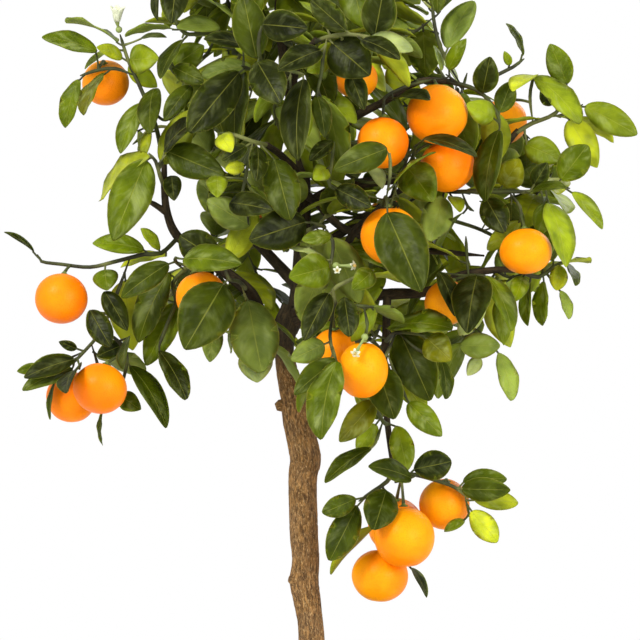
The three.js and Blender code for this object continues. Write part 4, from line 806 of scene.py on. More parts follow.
        [-178, -44, 454, 18.2, 0.95], [-151, -66, 391, 18.5, 0.93], [-171, -29, 385, 17.5, 1],
    ]),
    "left_centre_low": dict(more=2, tones="MDDKGM", twigs=[
        [[-82, -26, 486], [-90, -36, 476], [-100, -44, 465], [-98, -48, 452], [-104, -54, 436],
         [-110, -56, 420]],
        [[-99, -46, 460], [-88, -42, 440], [-73, -46, 434]],
        [[-92, -38, 474], [-98, -62, 480], [-98, -86, 483]],
    ], leaves=[
        [-94, 454, -118, 407, 21, -10], [-102, 472, -125, 424, 21, -14],
        [-101, 480, -136, 454, 18, -10], [-110, 418, -90, 384, 15, -8],
        [-71, 435, -74, 410, 15, -18], [-94, 482, -51, 477, 20, -26],
    ], fruit=[[-80, -62, 455, 17.5, 1]]),
    "left_centre": dict(more=2, tones="DGSK", twigs=[
        [[-49, -16, 461], [-50, -42, 462], [-54, -62, 466], [-61, -78, 468], [-65, -82, 480]],
        [[-49, -54, 461], [-44, -58, 436], [-43, -60, 422]],
    ], leaves=[
        [-63, 467, -92, 418, 38, -16], [-48, 456, -38, 403, 34, -14],
        [-43, 421, -41, 395, 24, -20], [-67, 480, -95, 498, 24, -14],
    ]),
    "back_left_high": dict(more=10, twigs=[
        [[-74, 98, 543], [-90, 115, 572], [-104, 118, 606]],
        [[-90, 115, 572], [-112, 108, 574], [-128, 92, 562]], [[-90, 115, 572], [-70, 140, 586]],
    ], fruit=[[-50, 106, 520, 17.5, 1]]),
    "back_left_low": dict(more=10, twigs=[
        [[-40, 42, 492], [-76, 66, 480], [-110, 84, 468], [-130, 84, 450]],
        [[-76, 66, 480], [-62, 98, 462], [-54, 112, 438]],
        [[-44, 45, 490], [-52, 70, 500], [-50, 96, 506]],
    ]),
    "back_centre_high": dict(more=11, twigs=[
        [[9, 93, 653], [14, 112, 668], [10, 128, 690]],
        [[14, 112, 668], [44, 118, 660], [62, 110, 646]],
        [[12, 104, 662], [-26, 118, 650], [-56, 108, 640]],
        [[12, 104, 662], [10, 132, 634], [2, 150, 606]],
    ], fruit=[[26, 112, 609, 14.5, 1]]),
    "back_centre_low": dict(more=10, twigs=[
        [[28, 97, 431], [44, 118, 420], [54, 130, 398]],
        [[36, 108, 426], [14, 132, 440], [-2, 144, 458]],
        [[44, 118, 420], [72, 120, 440], [86, 112, 456]],
    ], fruit=[[70, 106, 408, 15, 1]]),
    "back_right_high": dict(more=10, twigs=[
        [[78, 103, 553], [96, 112, 580], [106, 108, 612]],
        [[96, 112, 580], [130, 92, 578], [150, 74, 566]],
        [[88, 108, 566], [70, 138, 560], [56, 150, 540]],
    ], fruit=[[52, 118, 508, 18, 1]]),
    "back_right_low": dict(more=10, twigs=[
        [[50, 70, 522], [84, 84, 512], [116, 84, 502], [140, 70, 488]],
        [[84, 84, 512], [96, 104, 490]], [[116, 84, 502], [128, 60, 520], [148, 34, 528]],
    ]),
    "crown_top": dict(more=12, twigs=[
        [[-24, 4, 686], [-26, 0, 700], [-30, -8, 716]],
        [[-25, 2, 694], [2, -14, 700], [26, -26, 694]],
        [[-25, 2, 694], [-48, 26, 696], [-66, 40, 684]],
        [[-25, 2, 694], [-4, 32, 700], [20, 54, 690]],
    ]),
}
NO_ROWS = {"leaves": [], "fruit": [], "tones": ""}
FIRST_SEED, SEED_STEP = 4021, 97
DRAW_FACTOR, DRAW_STEP, DRAW_RANGE = 1664525, 1013904223, 2 ** 32
SPOT_SPACING, WOOD_MARGIN, SPOT_CROWDING = 4, 2, 5
BLADE_ARCH, BLADE_FOLD, BLADE_KEEP = 0.07, 0.16, 2.2
BLADE_ROWS, BLADE_COLUMNS = (0.12, 0.26, 0.4, 0.54, 0.68, 0.82, 0.94), (-0.95, -0.5, 0, 0.5, 0.95)
BLADE_SWELL, BLADE_BLUNT, NEAR_SHARE = 0.85, 0.75, 0.2
STALK_ROWS, STALK_LENGTH = (0.25, 0.5, 0.75, 1), 5.5
PETIOLE_RADIUS, STALK_RADIUS = 0.9, 1.1
TWIG_THICK, TWIG_THIN, SIDE_TWIG_ROOT = 1.7, 1.15, 0.5


def seeded(seed):
    """Draws from 0 to 1, the same on every run."""
    def draw():
        nonlocal seed
        seed = (seed * DRAW_FACTOR + DRAW_STEP) % DRAW_RANGE
        return seed / DRAW_RANGE

    return draw


class Crowd:
    """What a blade must keep clear of: groups of balls, each group inside one sphere."""

    def __init__(self):
        self.groups, self.middles, self.reaches = [], np.zeros((0, 3)), np.zeros(0)

    @staticmethod
    def group(balls, owner):
        """The balls' places, radii and whether they are near a twig, and their sphere."""
        at, radius, near = (np.array(values) for values in zip(*balls))
        middle = at.mean(axis=0)
        reach = (np.linalg.norm(at - middle, axis=1) + radius).max()
        return at, radius, near, middle, reach, owner

    def add(self, balls, owner):
        made = self.group(balls, owner)
        self.groups.append(made)
        self.middles = np.vstack([self.middles, made[3]])
        self.reaches = np.append(self.reaches, made[4])

    def is_clear(self, balls, owner):
        """A leaf's first stretch may be near its own spray's twigs and leaf stalks."""
        at, radius, near, middle, reach, _ = self.group(balls, owner)
        gaps = np.linalg.norm(self.middles - middle, axis=1) - self.reaches - reach
        for i in np.nonzero(gaps < 0)[0]:
            their_at, their_radius, their_near, _, _, their_owner = self.groups[i]
            apart = np.linalg.norm(their_at[:, None] - at[None], axis=2)
            touching = apart < their_radius[:, None] + radius[None]
            if their_owner == owner:
                touching &= ~(their_near[:, None] & near[None])
            if touching.any():
                return False
        return True

    def takes(self, balls, owner):
        """Adds the balls, unless something is in their way."""
        is_free = self.is_clear(balls, owner)
        if is_free:
            self.add(balls, owner)
        return is_free


crowd = Crowd()


def balls_along(line, spacing=SPOT_SPACING):
    """Balls no further apart than their spacing along a line of places and radii."""
    balls = []
    for (start, first), (end, second) in zip(line, line[1:]):
        count = max(1, math.ceil(np.linalg.norm(end - start) / spacing))
        for k in range(count):
            part = k / count
            balls.append((start + (end - start) * part, first * (1 - part) + second * part, True))
    return balls + [(line[-1][0], line[-1][1], True)]


class Leaf:
    """A leaf by its stalk's foot on the twig, the start and tip of its blade and its upper side."""

    def __init__(self, root, base, tip, facing, width):
        self.root, self.base, self.width = root, base, width
        self.length = np.linalg.norm(tip - base)
        self.along = (tip - base) / self.length
        self.up = unit(facing - self.along * (facing @ self.along))
        self.side = np.cross(self.along, self.up)

    def point(self, part, across):
        arch = BLADE_ARCH * self.length * 4 * part * (1 - part)
        rise = arch + BLADE_FOLD * abs(across) * self.width
        return (
            self.base + self.along * part * self.length
            + self.side * across * self.width + self.up * rise
        )

    def balls(self):
        made = [(self.point(1, 0), BLADE_KEEP, False)]
        for part in BLADE_ROWS:
            half_width = 0.5 * math.sin(math.pi * part ** BLADE_SWELL) ** BLADE_BLUNT
            for column in BLADE_COLUMNS:
                made.append((self.point(part, column * half_width), BLADE_KEEP, part < NEAR_SHARE))
        for part in STALK_ROWS:
            spot = self.root + (self.base - self.root) * part
            made.append((spot, PETIOLE_RADIUS + GAP, True))
        return made


def nearest_spot(spots, to, is_flat=False):
    """The nearest spot of a spray's twigs, as the front shows it or in space."""
    def gap(spot):
        away = spot.at - to
        if is_flat:
            return math.hypot(away[0], away[2]) + SPOT_CROWDING * spot.leaves
        return math.hypot(*away)

    return min(spots, key=gap)


DEPTH_SHIFTS = (0, -5, 5, -9, 9, -13, 13, -17, 17, -22, 22, -27, 27, -33, 33, -40, 40)
TIP_SHIFTS, FRONT_DEPTH, FORWARD = (0, -7, 7, -14, 14, -22), -60, np.array([0, -1.0, 0])
TYPICAL_WIDTH, MOST_FORESHORTENED = 0.46, 1.9


def placed_leaf(spray, row):
    """A leaf set as the front shows it: the first depth that is clear is taken."""
    base_x, base_z, tip_x, tip_z, width, back = row
    spot = nearest_spot(spray.spots, judged((base_x, FRONT_DEPTH, base_z)), is_flat=True)
    for shift, tip_shift in product(DEPTH_SHIFTS, TIP_SHIFTS):
        depth = spot.at[1] + shift
        base = judged((base_x, depth, base_z))
        tip = judged((tip_x, depth + back + tip_shift, tip_z))
        along = unit(tip - base)
        base = base + along * max(0, STALK_LENGTH - np.linalg.norm(base - spot.at))
        typical = min(TYPICAL_WIDTH * np.linalg.norm(tip - base), MOST_FORESHORTENED * width)
        true_width = max(width, typical)
        roll = math.acos(width / true_width)
        to_view = unit(FORWARD - along * (FORWARD @ along))
        sideways = np.cross(along, to_view)
        ways = [to_view * math.cos(roll) + sideways * math.sin(s * roll) for s in (1, -1)]
        facing = ways[0] if ways[0][2] > ways[1][2] else ways[1]
        leaf = Leaf(spot.at, base, tip, facing, true_width)
        if crowd.takes(leaf.balls(), spray.name):
            spot.leaves += 1
            return leaf
    return None


GOLDEN_TURN, LEAF_SPREAD, LEAF_DROOP, LEAF_TILT = 2.39996, 0.9, 0.22, 0.35
TURN_WAVE, TURN_WAVES, LEAN_BACK = 0.5, 3, 0.6
TURNS_TRIED, TURN_STEP, SMALLER, MOST_FORWARD = 14, 0.77, 0.8, 0.1
BARE_SHARE, LEAST_LENGTH, LENGTH_RANGE, LEAST_SHARE, SHARE_RANGE = 0.12, 40, 16, 0.46, 0.1


def ruled_leaf(spray, index, count, is_backwards, is_allowed=None):
    """A leaf set by rule: spaced along the twigs, turned by the golden angle, hanging a little."""
    draw, spots = spray.draw, spray.spots
    share = BARE_SHARE + (1 - BARE_SHARE) * (index + draw()) / count
    k = min(len(spots) - 2, math.floor(share * (len(spots) - 1)))
    foot = spots[k + 1].at
    heading = unit(foot - spots[k].at)
    length = LEAST_LENGTH + LENGTH_RANGE * draw()
    width = length * (LEAST_SHARE + SHARE_RANGE * draw())
    start_turn = index * GOLDEN_TURN + draw()
    lean = draw() - 0.5
    for tried in range(TURNS_TRIED):
        turn = start_turn + tried * TURN_STEP
        size = 1 if tried < TURNS_TRIED / 2 else SMALLER
        rise = TURN_WAVE * math.sin(TURN_WAVES * turn)
        flat = np.array([math.cos(turn), math.sin(turn), rise])
        flat = unit(flat - heading * (flat @ heading))
        along = heading * math.cos(LEAF_SPREAD) + flat * math.sin(LEAF_SPREAD)
        along = unit(along - (0, 0, LEAF_DROOP))
        if is_backwards and along[1] < MOST_FORWARD:
            continue
        base = foot + along * STALK_LENGTH
        facing = np.array([lean, LEAN_BACK * lean, 1]) + flat * LEAF_TILT
        leaf = Leaf(foot, base, base + along * length * size, facing, width * size)
        is_refused = is_allowed and not is_allowed(leaf)
        if not is_refused and crowd.takes(leaf.balls(), spray.name):
            return leaf
    return None


UPWARD, BLOOM_SHARE = (0, 0, 1.2), 0.8
wood_balls = [ball for line in trunk_lines + limb_lines for ball in balls_along(line)]
wood_at, wood_radii, _ = (np.array(values) for values in zip(*wood_balls))
sprays, fruits = [], []
for index, (name, rows) in enumerate(SPRAYS.items()):
    spray = SimpleNamespace(name=name, rows={**NO_ROWS, **rows}, lines=[], spots=[], leaves=[],
                            draw=seeded(FIRST_SEED + SEED_STEP * index))
    for order, twig in enumerate(rows["twigs"]):
        thick = 0.5 * (TWIG_THICK + TWIG_THIN) if order else TWIG_THICK
        line = [
            (judged(row), thick + (TWIG_THIN - thick) * i / (len(twig) - 1))
            for i, row in enumerate(twig)
        ]
        if order:
            line[0] = (nearest_spot(spray.spots, line[0][0]).at, SIDE_TWIG_ROOT)
        spray.lines.append(line)
        for at, _, _ in balls_along(line)[:-1]:
            if not (np.linalg.norm(wood_at - at, axis=1) < wood_radii + WOOD_MARGIN).any():
                spray.spots.append(SimpleNamespace(at=at, leaves=0))
    sprays.append(spray)
for line in trunk_lines + limb_lines:
    crowd.add(balls_along(line), "wood")
for spray in sprays:
    for line in spray.lines:
        crowd.add(balls_along(line), spray.name)
for spray in sprays:
    for x, y, z, radius, tall in spray.rows["fruit"]:
        middle = judged((x, y, z))
        foot = nearest_spot(spray.spots, middle + (0, 0, radius)).at
        axis = unit(unit(foot - middle) + UPWARD)
        top = middle + axis * radius * tall
        fruits.append(SimpleNamespace(middle=middle, radius=radius, tall=tall, axis=axis, top=top,
                                      foot=foot, spray=spray.name))
        crowd.add([(middle, max(radius, radius * tall), False)], "fruit")
        stalk = [(foot, STALK_RADIUS + GAP), (top, STALK_RADIUS + GAP)]
        crowd.add(balls_along(stalk), spray.name)

BUD_RADIUS = 2.4
BLOSSOMS = {
    "blossom_top_left": ((-137, -30, 639), [(-139, -36, 648, 9)]),
    "blossom_centre": ((11, -96, 478), [(26, -100, 477, 3.4), (15, -104, 474, 2.8)]),
    "blossom_low_centre": ((36, -111, 430), [(28, -121, 416, 3.6)]),
}
blooms = {}
for name, (twig_end, flowers) in BLOSSOMS.items():
    end = judged(twig_end)
    middles, radii = [judged(flower) for flower in flowers], [flower[3] for flower in flowers]
    heading = unit(sum(middle - end for middle in middles))
    bud = end + heading * (TWIG_THIN + BUD_RADIUS + GAP)
    blooms[name] = (bud, middles, radii)
    heads = [(at, BLOOM_SHARE * radius, False) for at, radius in zip(middles, radii)]
    crowd.add([(bud, BUD_RADIUS + GAP, False), *heads], name)

# The crown's outline and the openings through it, as the front shows them: the back's leaves
# and the inner shoots stay inside the one and out of the others.
OUTLINE = [
    (-100, 700), (-60, 725), (50, 725), (82, 690), (80, 630), (128, 590), (172, 560), (178, 500),
    (150, 452), (120, 425), (92, 408), (84, 368), (22, 366), (-4, 424), (-34, 408), (-94, 420),
    (-118, 440), (-104, 478), (-84, 492), (-76, 520), (-92, 548), (-106, 590), (-104, 640),
]
OPENINGS = [
    (113, 508, 13), (113, 491, 10), (107, 523, 7), (59, 461, 7), (157, 576, 6), (-62, 598, 6),
]
OPENING_ROWS, OPENING_COLUMNS, OUTLINE_ROWS = (0.25, 0.5, 0.75, 1), (-0.35, 0, 0.35), (0.4, 0.8, 1)


def as_seen(at):
    """Where a point shows from the front, the reverse of judged."""
    opened = 1 + at[1] / VIEW_DISTANCE
    return VIEW_X + (at[0] - VIEW_X) / opened, VIEW_Z + (at[2] - VIEW_Z) / opened


def is_inside_outline(x, z):
    inside = False
    for (x0, z0), (x1, z1) in zip(OUTLINE, OUTLINE[1:] + OUTLINE[:1]):
        if (z0 > z) != (z1 > z) and x < x0 + (z - z0) / (z1 - z0) * (x1 - x0):
            inside = not inside
    return inside


def stays_inside(leaf):
    """Whether a leaf shows inside the crown's outline and leaves its openings open."""
    for part, across in product(OPENING_ROWS, OPENING_COLUMNS):
        x, z = as_seen(leaf.point(part, across))
        if any(math.hypot(x - hole_x, z - hole_z) < radius for hole_x, hole_z, radius in OPENINGS):
            return False
    return all(is_inside_outline(*as_seen(leaf.point(part, 0))) for part in OUTLINE_ROWS)


# Colour letters that ruled leaves take in turn. The many light ones are painted light, for leaves
# that show lit from behind through the crown's gaps.
RULED_TONES_AND_PAINTED_LIGHT, TONE_STEP = "LDYGMGYLDYML", 5


def add_ruled(spray, bearer, count, first_tone, *rules):
    """Adds ruled leaves to a spray, on its own twigs or a shoot's, and counts them."""
    added = 0
    for i in range(count):
        leaf = ruled_leaf(bearer, i, count, *rules)
        if leaf:
            leaf.tone = RULED_TONES_AND_PAINTED_LIGHT[(i * TONE_STEP + first_tone) % len(RULED_TONES_AND_PAINTED_LIGHT)]
            spray.leaves.append(leaf)
            added += 1
    return added


for spray in sprays:
    for row, tone in zip(spray.rows["leaves"], spray.rows["tones"]):
        leaf = placed_leaf(spray, row)
        if leaf:
            leaf.tone = tone
            spray.leaves.append(leaf)
for spray in sprays:
    is_front = bool(spray.rows["leaves"])
    rule = None if is_front else stays_inside
    add_ruled(spray, spray, spray.rows["more"], 0, is_front, rule)

# Inner shoots: leafy side twigs from the sprays into the room that is left in the crown.
SHOOT_LEAVES, SHOOT_ROOM, SHOOT_BEND = 7, 9, 0.16
LEAST_REACH, MOST_REACH, FURTHEST_FORWARD = 22, 62, -45
CROWN_AT, CROWN_REACH = np.array((0, 5, 560)), (185, 112, 170)
spots_at = np.array([spot.at for spray in sprays for spot in spray.spots])
spots_of = [spray for spray in sprays for _ in spray.spots]


def grow_shoots(seed, tries, most_leaves):
    """Draws ends for shoots in the crown and joins each to the nearest twig that it can reach."""
    draw, grown = seeded(seed), 0
    for tried in range(tries):
        part = np.array([2 * draw() - 1 for _ in CROWN_AT])
        end = CROWN_AT + part * CROWN_REACH
        is_in_crown = part @ part <= 1 and end[1] >= FURTHEST_FORWARD
        if not (is_in_crown and is_inside_outline(*as_seen(end))):
            continue
        if not crowd.is_clear([(end, SHOOT_ROOM, False)], "shoot"):
            continue
        away = np.linalg.norm(spots_at - end, axis=1)
        start, reach, spray = spots_at[away.argmin()], away.min(), spots_of[away.argmin()]
        bend = 0.5 * (start + end) - (0, 0, SHOOT_BEND * reach)
        line = [(start, SIDE_TWIG_ROOT), (bend, TWIG_THIN), (end, TWIG_THIN)]
        balls = balls_along(line)[1:]
        if LEAST_REACH <= reach <= MOST_REACH and crowd.takes(balls, spray.name):
            spray.lines.append(line)
            shoot = SimpleNamespace(name=spray.name, draw=draw,
                                    spots=[SimpleNamespace(at=at) for at, _, _ in balls])
            grown += add_ruled(spray, shoot, SHOOT_LEAVES, tried, False, stays_inside)
            if grown >= most_leaves:
                break


# The leaves between those of the solids are further draws of the same two rules.
FILL_ROUNDS, FRONT_FILL, BACK_FILL = 3, 5, 10
grow_shoots(seed=7717, tries=1500, most_leaves=130)
for fill_round, spray in product(range(FILL_ROUNDS), sprays):
    is_front = bool(spray.rows["leaves"])
    fill = FRONT_FILL if is_front else BACK_FILL
    add_ruled(spray, spray, fill, fill_round, is_front, stays_inside)
grow_shoots(seed=1913, tries=900, most_leaves=260)

# The blade: leathery and glossy above, paler and matt below, folded a little along a pale
# midrib, with a thin pale edge. Three pressed shapes are shared by all the leaves.
BLADE_STATIONS = (
    0.0, 0.03, 0.08, 0.15, 0.24, 0.34, 0.45, 0.56, 0.67, 0.77, 0.86, 0.93, 0.975, 1.0,
)
BLADE_ACROSS, BLADE_THICKNESS, LEAST_RIM, LAST_SWELL = (-1, -0.52, 0, 0.52, 1), 0.012, 0.02, 0.995


def blade_object(name, swell, blunt, wave, wave_count, curl, twist):
    """A leaf one unit long and one wide, closed at its rim; its height goes with its length."""
    points, places, under, index, faces = [], [], [], {}, []
    last = len(BLADE_STATIONS) - 1
    for r, part in enumerate(BLADE_STATIONS):
        rim = max(LEAST_RIM, 0.5 * math.sin(math.pi * min(part, LAST_SWELL) ** swell) ** blunt)
        for c, across in enumerate(BLADE_ACROSS):
            x = across * rim
            z = BLADE_ARCH * 4 * part * (1 - part) + BLADE_FOLD * TYPICAL_WIDTH * abs(x)
            z += wave * math.sin(wave_count * math.pi * part + across) * across * across
            z += curl * part * part + twist * across * rim * (part - 0.4)
            is_rim = abs(across) == 1 or r in (0, last)
            for upper in (1,) if is_rim else (1, 0):
                index[r, c, upper] = len(points)
                points.append((x, part, z + (upper - 0.5) * BLADE_THICKNESS))
                places.append((0.5 + 0.5 * across, part))
                under.append(0.5 if is_rim else 1.0 - upper)
            if is_rim:
                index[r, c, 0] = index[r, c, 1]
    for r, c, upper in product(range(last), range(len(BLADE_ACROSS) - 1), (1, 0)):
        corners = [(r, c), (r, c + 1), (r + 1, c + 1), (r + 1, c)]
        face = [index[row, column, upper] for row, column in corners]
        faces.append(face if upper else face[::-1])
    made = mesh_object(name, points, faces)
    layer = made.data.uv_layers.new(name="blade")
    for loop in made.data.loops:
        layer.data[loop.index].uv = places[loop.vertex_index]
    add_layer(made.data, "underside", "FLOAT", under)
    return made


CALYX_LOBES, CALYX_NOTCH = 5, 0.62
CALYX_RINGS = [(0.34, 0.62), (0.5, 0.3), (1.0, 0.05), (0.94, -0.1)]


def calyx_object():
    """A small star of five blunt lobes with a raised ring, one unit in radius."""
    count, points, faces = 2 * CALYX_LOBES, [], []
    for order, (reach, height) in enumerate(CALYX_RINGS):
        for k in range(count):
            turn = math.pi * k / CALYX_LOBES
            lobe = 1 if k % 2 == 0 or order < 2 else CALYX_NOTCH
            points.append((reach * lobe * math.cos(turn), reach * lobe * math.sin(turn), height))
    points += [(0, 0, CALYX_RINGS[0][1]), (0, 0, CALYX_RINGS[-1][1])]
    last = len(points) - 2 - count
    for k in range(count):
        after = (k + 1) % count
        faces.append((k, after, len(points) - 2))
        for a in range(0, last, count):
            b = a + count
            faces.append((a + k, b + k, b + after, a + after))
        faces.append((last + after, last + k, len(points) - 1))
    return mesh_object("fruit_calyx", points, faces)


patterns = {
    "Blade 0": blade_object("blade_oval", 0.92, 0.62, 0.006, 3.0, -0.03, 0.03),
    "Blade 1": blade_object("blade_blunt", 1.1, 0.56, 0.016, 5.0, -0.05, -0.07),
    "Blade 2": blade_object("blade_long", 0.85, 0.68, 0.01, 4.0, 0.03, 0.08),
    "Fruit Calyx": calyx_object(),
}


def named(wire, name, kind):
    """The values that a mesh's points carry under a name."""
    return wire.add("GeometryNodeInputNamedAttribute", {"Name": name}, data_type=kind)


def swept(seed, sides, material):
    """Round closed stems along a mesh's edges, as thick as its points say."""
    line = seed.add("GeometryNodeMeshToCurve", {"Mesh": seed})
    section = seed.add("GeometryNodeCurvePrimitiveCircle", {"Resolution": sides, "Radius": 1.0})
    return painted(line.add("GeometryNodeCurveToMesh", {
        "Curve": line, "Profile Curve": section, "Fill Caps": True,
        "Scale": named(seed, "thickness", "FLOAT"),
    }), material)


def pattern(seed, key):
    """The shape of the object that an input names."""
    return seed.add("GeometryNodeObjectInfo", {"Object": seed[key]},
                    transform_space="ORIGINAL")["Geometry"]


def set_out(seed, shape, code, material):
    """A shape at each point of a kind, turned and sized as the point says."""
    kind = named(seed, "kind", "INT")
    is_kind = kind.add("FunctionNodeCompare", {2: kind, 3: code}, data_type="INT",
                       operation="EQUAL")
    return painted(seed.add("GeometryNodeInstanceOnPoints", {
        "Points": seed, "Selection": is_kind, "Instance": shape,
        "Rotation": named(seed, "turn", "QUATERNION"),
        "Scale": named(seed, "size", "FLOAT_VECTOR"),
    }), material)


def spray_tree():
    """Twigs and stalks from a mesh's edges, and leaves and calyxes on its loose points."""
    seed = new_tree("leafy_spray", Int=["Twig Sides"], Material=["Twig", "Leaf", "Calyx"],
                    Object=list(patterns))
    parts = [swept(seed, seed["Twig Sides"], seed["Twig"])]
    for code, key in enumerate(patterns, 1):
        finish = seed["Calyx" if key == "Fruit Calyx" else "Leaf"]
        parts.append(set_out(seed, pattern(seed, key), code, finish))
    return close_tree(parts)


def leaf_paint(place):
    spot = place.add("ShaderNodeUVMap", uv_map="blade")
    sideways, along, _ = spot.parts()
    across = (sideways * 2 - 1).maths("ABSOLUTE")
    tint = place.add("ShaderNodeAttribute", attribute_name="tint")
    below = place.add("ShaderNodeAttribute", attribute_name="underside")["Fac"]
    channels = tint.add("ShaderNodeSeparateColor", {"Color": tint})
    pale = channels["Green"].between(0.01, 0.09)
    between_veins = spot.add("ShaderNodeCombineXYZ", {
        "X": (along - across * 0.25) * 5, "Y": (sideways * 2 - 1) * 1.2, "Z": channels["Red"] * 300,
    })
    fine = place.grain(900, 3)
    ribs = (along * 9 - across * 2.2).maths("FRACT")
    ribs = (1 - (ribs - 0.5).maths("ABSOLUTE").between(0.0, 0.2)) * (1 - across.between(0.6, 0.95))
    midrib = 1 - across.between(0.01, 0.045)
    edge = across.between(0.93, 0.99)
    lighter = tint.add("ShaderNodeMix", {"Factor": 1.0, "A": tint, "B": (2.6, 2.4, 2.2, 1)},
                       data_type="RGBA", blend_type="MULTIPLY")
    blade = (place.grain(62, 2).between(0.35, 0.7) * 0.6).mix(tint, lighter)
    # Painted sheen: pale grey-green streaks between the side veins, off the midrib, painted into
    # the colour and stronger on paler leaves.
    sheen = between_veins.grain(1.0, 3).between(0.46, 0.8) * (pale * 0.32 + 0.18) * (1 - midrib)
    blade = sheen.mix(blade, (153, 163, 96))
    blade = (ribs * 0.06).mix(blade, lighter)
    blade = (midrib * 0.3 + edge * 0.36).mix(blade, (158, 160, 66))
    height = place.grain(75, 2) + (fine * 0.25 - ribs * 0.3 - midrib) * 0.1
    matt = (below * 0.3).mix(blade, (100, 110, 40))
    return matt, fine * 0.12 + 0.32 + below * 0.3, height.bump(0.005, 0.5)


def twig_paint(place):
    fine = place.grain(800, 4)
    green = place.grain(60, 3).between(0.35, 0.65).mix((40, 41, 22), (70, 78, 32))
    fresh = (place.grain(24, 2).between(0.52, 0.62) * 0.6).mix(green, (138, 142, 78))
    barked = (fine.between(0.5, 0.75) * 0.5).mix(fresh, (58, 44, 28))
    return barked, fine * 0.2 + 0.55, fine.bump(0.0005, 0.5)


SEED_LAYERS = {
    "thickness": "FLOAT", "kind": "INT", "turn": "QUATERNION", "size": "FLOAT_VECTOR",
    "tint": "FLOAT_COLOR",
}
NO_TURN, NO_SIZE, NO_TINT = (1, 0, 0, 0), (1, 1, 1), (0, 0, 0, 1)


def add_line(rows, edges, line, *more):
    """Adds a line's stations to a seed's rows, and what joins them to its edges."""
    for i, (at, radius) in enumerate(line):
        if i:
            edges.append((len(rows) - 1, len(rows)))
        rows.append((at, radius * MM, 0, NO_TURN, NO_SIZE, *more))


def seed_object(name, rows, edges):
    """A mesh from rows of a place and what its point carries, in the order of the layers."""
    places, *layers = zip(*rows)
    made = mesh_object(name, np.array(places) * MM, [], edges)
    for (key, kind), values in zip(SEED_LAYERS.items(), layers):
        add_layer(made.data, key, kind, values)
    return made


TWIG_STEP, STALK_STEP, TWIG_TIP_THIN, TWIG_TIP_LENGTH = 5, 2, 0.35, 8.0
PETIOLE_FOOT, PETIOLE_THIN, PETIOLE_SUNK, PETIOLE_SAG, PETIOLE_PAST = 1.05, 0.7, 0.5, 0.5, 1.2
STALK_THIN, STALK_END, STALK_PAST, STALK_BOW = 1.0, 1.25, 1.4, 0.8
CALYX_RADIUS, CALYX_LIFT, LEAST_SHADE, SHADE_RANGE, SHADE_SEED = 3.3, 0.25, 0.76, 0.62, 31
# Leaf colours by letter, as a screen shows them: the leaf's own tone, from lime young leaves to
# dark old ones, mixed with painted light and shade. K is a leaf in deep shade, L a backlit one, and
# G and S carry a painted sheen.
LEAF_TONES_AND_PAINTED_LIGHT = {
    "K": (23, 28, 2), "D": (42, 51, 3), "M": (71, 85, 6), "G": (92, 106, 41), "O": (79, 81, 4),
    "L": (132, 141, 25), "Y": (104, 118, 18), "S": (129, 141, 86),
}


def spray_seed(spray):
    """The mesh that a spray grows from: its lines as edges, its leaves as loose points."""
    rows, edges, lines = [], [], []
    for line in spray.lines:
        tip = line[-1][0]
        lines.append([
            (at, radius * min(1, TWIG_TIP_THIN + np.linalg.norm(tip - at) / TWIG_TIP_LENGTH))
            for at, radius in smoothed(line, TWIG_STEP)
        ])
    for leaf in spray.leaves:
        start = leaf.root + unit(leaf.root - leaf.base) * PETIOLE_SUNK
        middle = 0.5 * (leaf.root + leaf.base) - leaf.up * PETIOLE_SAG
        end = leaf.base + leaf.along * PETIOLE_PAST
        stalk = [(start, PETIOLE_FOOT), (middle, PETIOLE_THIN), (end, PETIOLE_THIN)]
        lines.append(smoothed(stalk, STALK_STEP))
    borne = [fruit for fruit in fruits if fruit.spray == spray.name]
    for fruit in borne:
        end = fruit.top + fruit.axis * STALK_PAST
        middle = 0.5 * (fruit.foot + end) + fruit.axis * STALK_BOW
        stalk = [(fruit.foot, STALK_THIN), (middle, STALK_THIN), (end, STALK_END)]
        lines.append(smoothed(stalk, STALK_STEP))
    for line in lines:
        add_line(rows, edges, line, NO_TINT)
    draw = seeded(len(spray.name) * SHADE_SEED + len(spray.leaves))
    for leaf in spray.leaves:
        shade = LEAST_SHADE + SHADE_RANGE * draw()
        tint = (*[value * shade for value in screen_colour(*LEAF_TONES_AND_PAINTED_LIGHT[leaf.tone])[:3]], 1)
        turn = Matrix(np.array([leaf.side, leaf.along, leaf.up]).T.tolist()).to_quaternion()
        size = (leaf.width * MM, leaf.length * MM, leaf.length * MM)
        rows.append((leaf.base, 0.0, 1 + int(3 * draw()), tuple(turn), size, tint))
    for fruit in borne:
        at = fruit.top + fruit.axis * CALYX_LIFT
        turn = Vector(fruit.axis).to_track_quat("Z", "Y")
        rows.append((at, 0.0, len(patterns), tuple(turn), (CALYX_RADIUS * MM,) * 3, NO_TINT))
    return seed_object("twigs_of_" + spray.name, rows, edges)


calyx_paint = plain_paint(600, 3, (74, 92, 34), (122, 132, 62), 0.6, (0.35, 0.7))
leafy_spray = spray_tree()
spray_values = {
    "Twig Sides": 8, **patterns,
    "Twig": finish_paint("young_twig", twig_paint, specular_ior_level=0.3),
    "Calyx": finish_paint("dry_calyx", calyx_paint, specular_ior_level=0.3),
    "Leaf": finish_paint("leathery_leaf", leaf_paint, specular_ior_level=0.07,
                         subsurface_weight=0.3, subsurface_scale=0.001,
                         subsurface_radius=(1.0, 1.2, 0.2)),
}
for spray in sprays:
    piece = spray_seed(spray)
    grow(piece, leafy_spray, spray_values)
    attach(piece, "root")
    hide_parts("spray_" + spray.name)
for shape in patterns.values():
    bpy.data.objects.remove(shape)


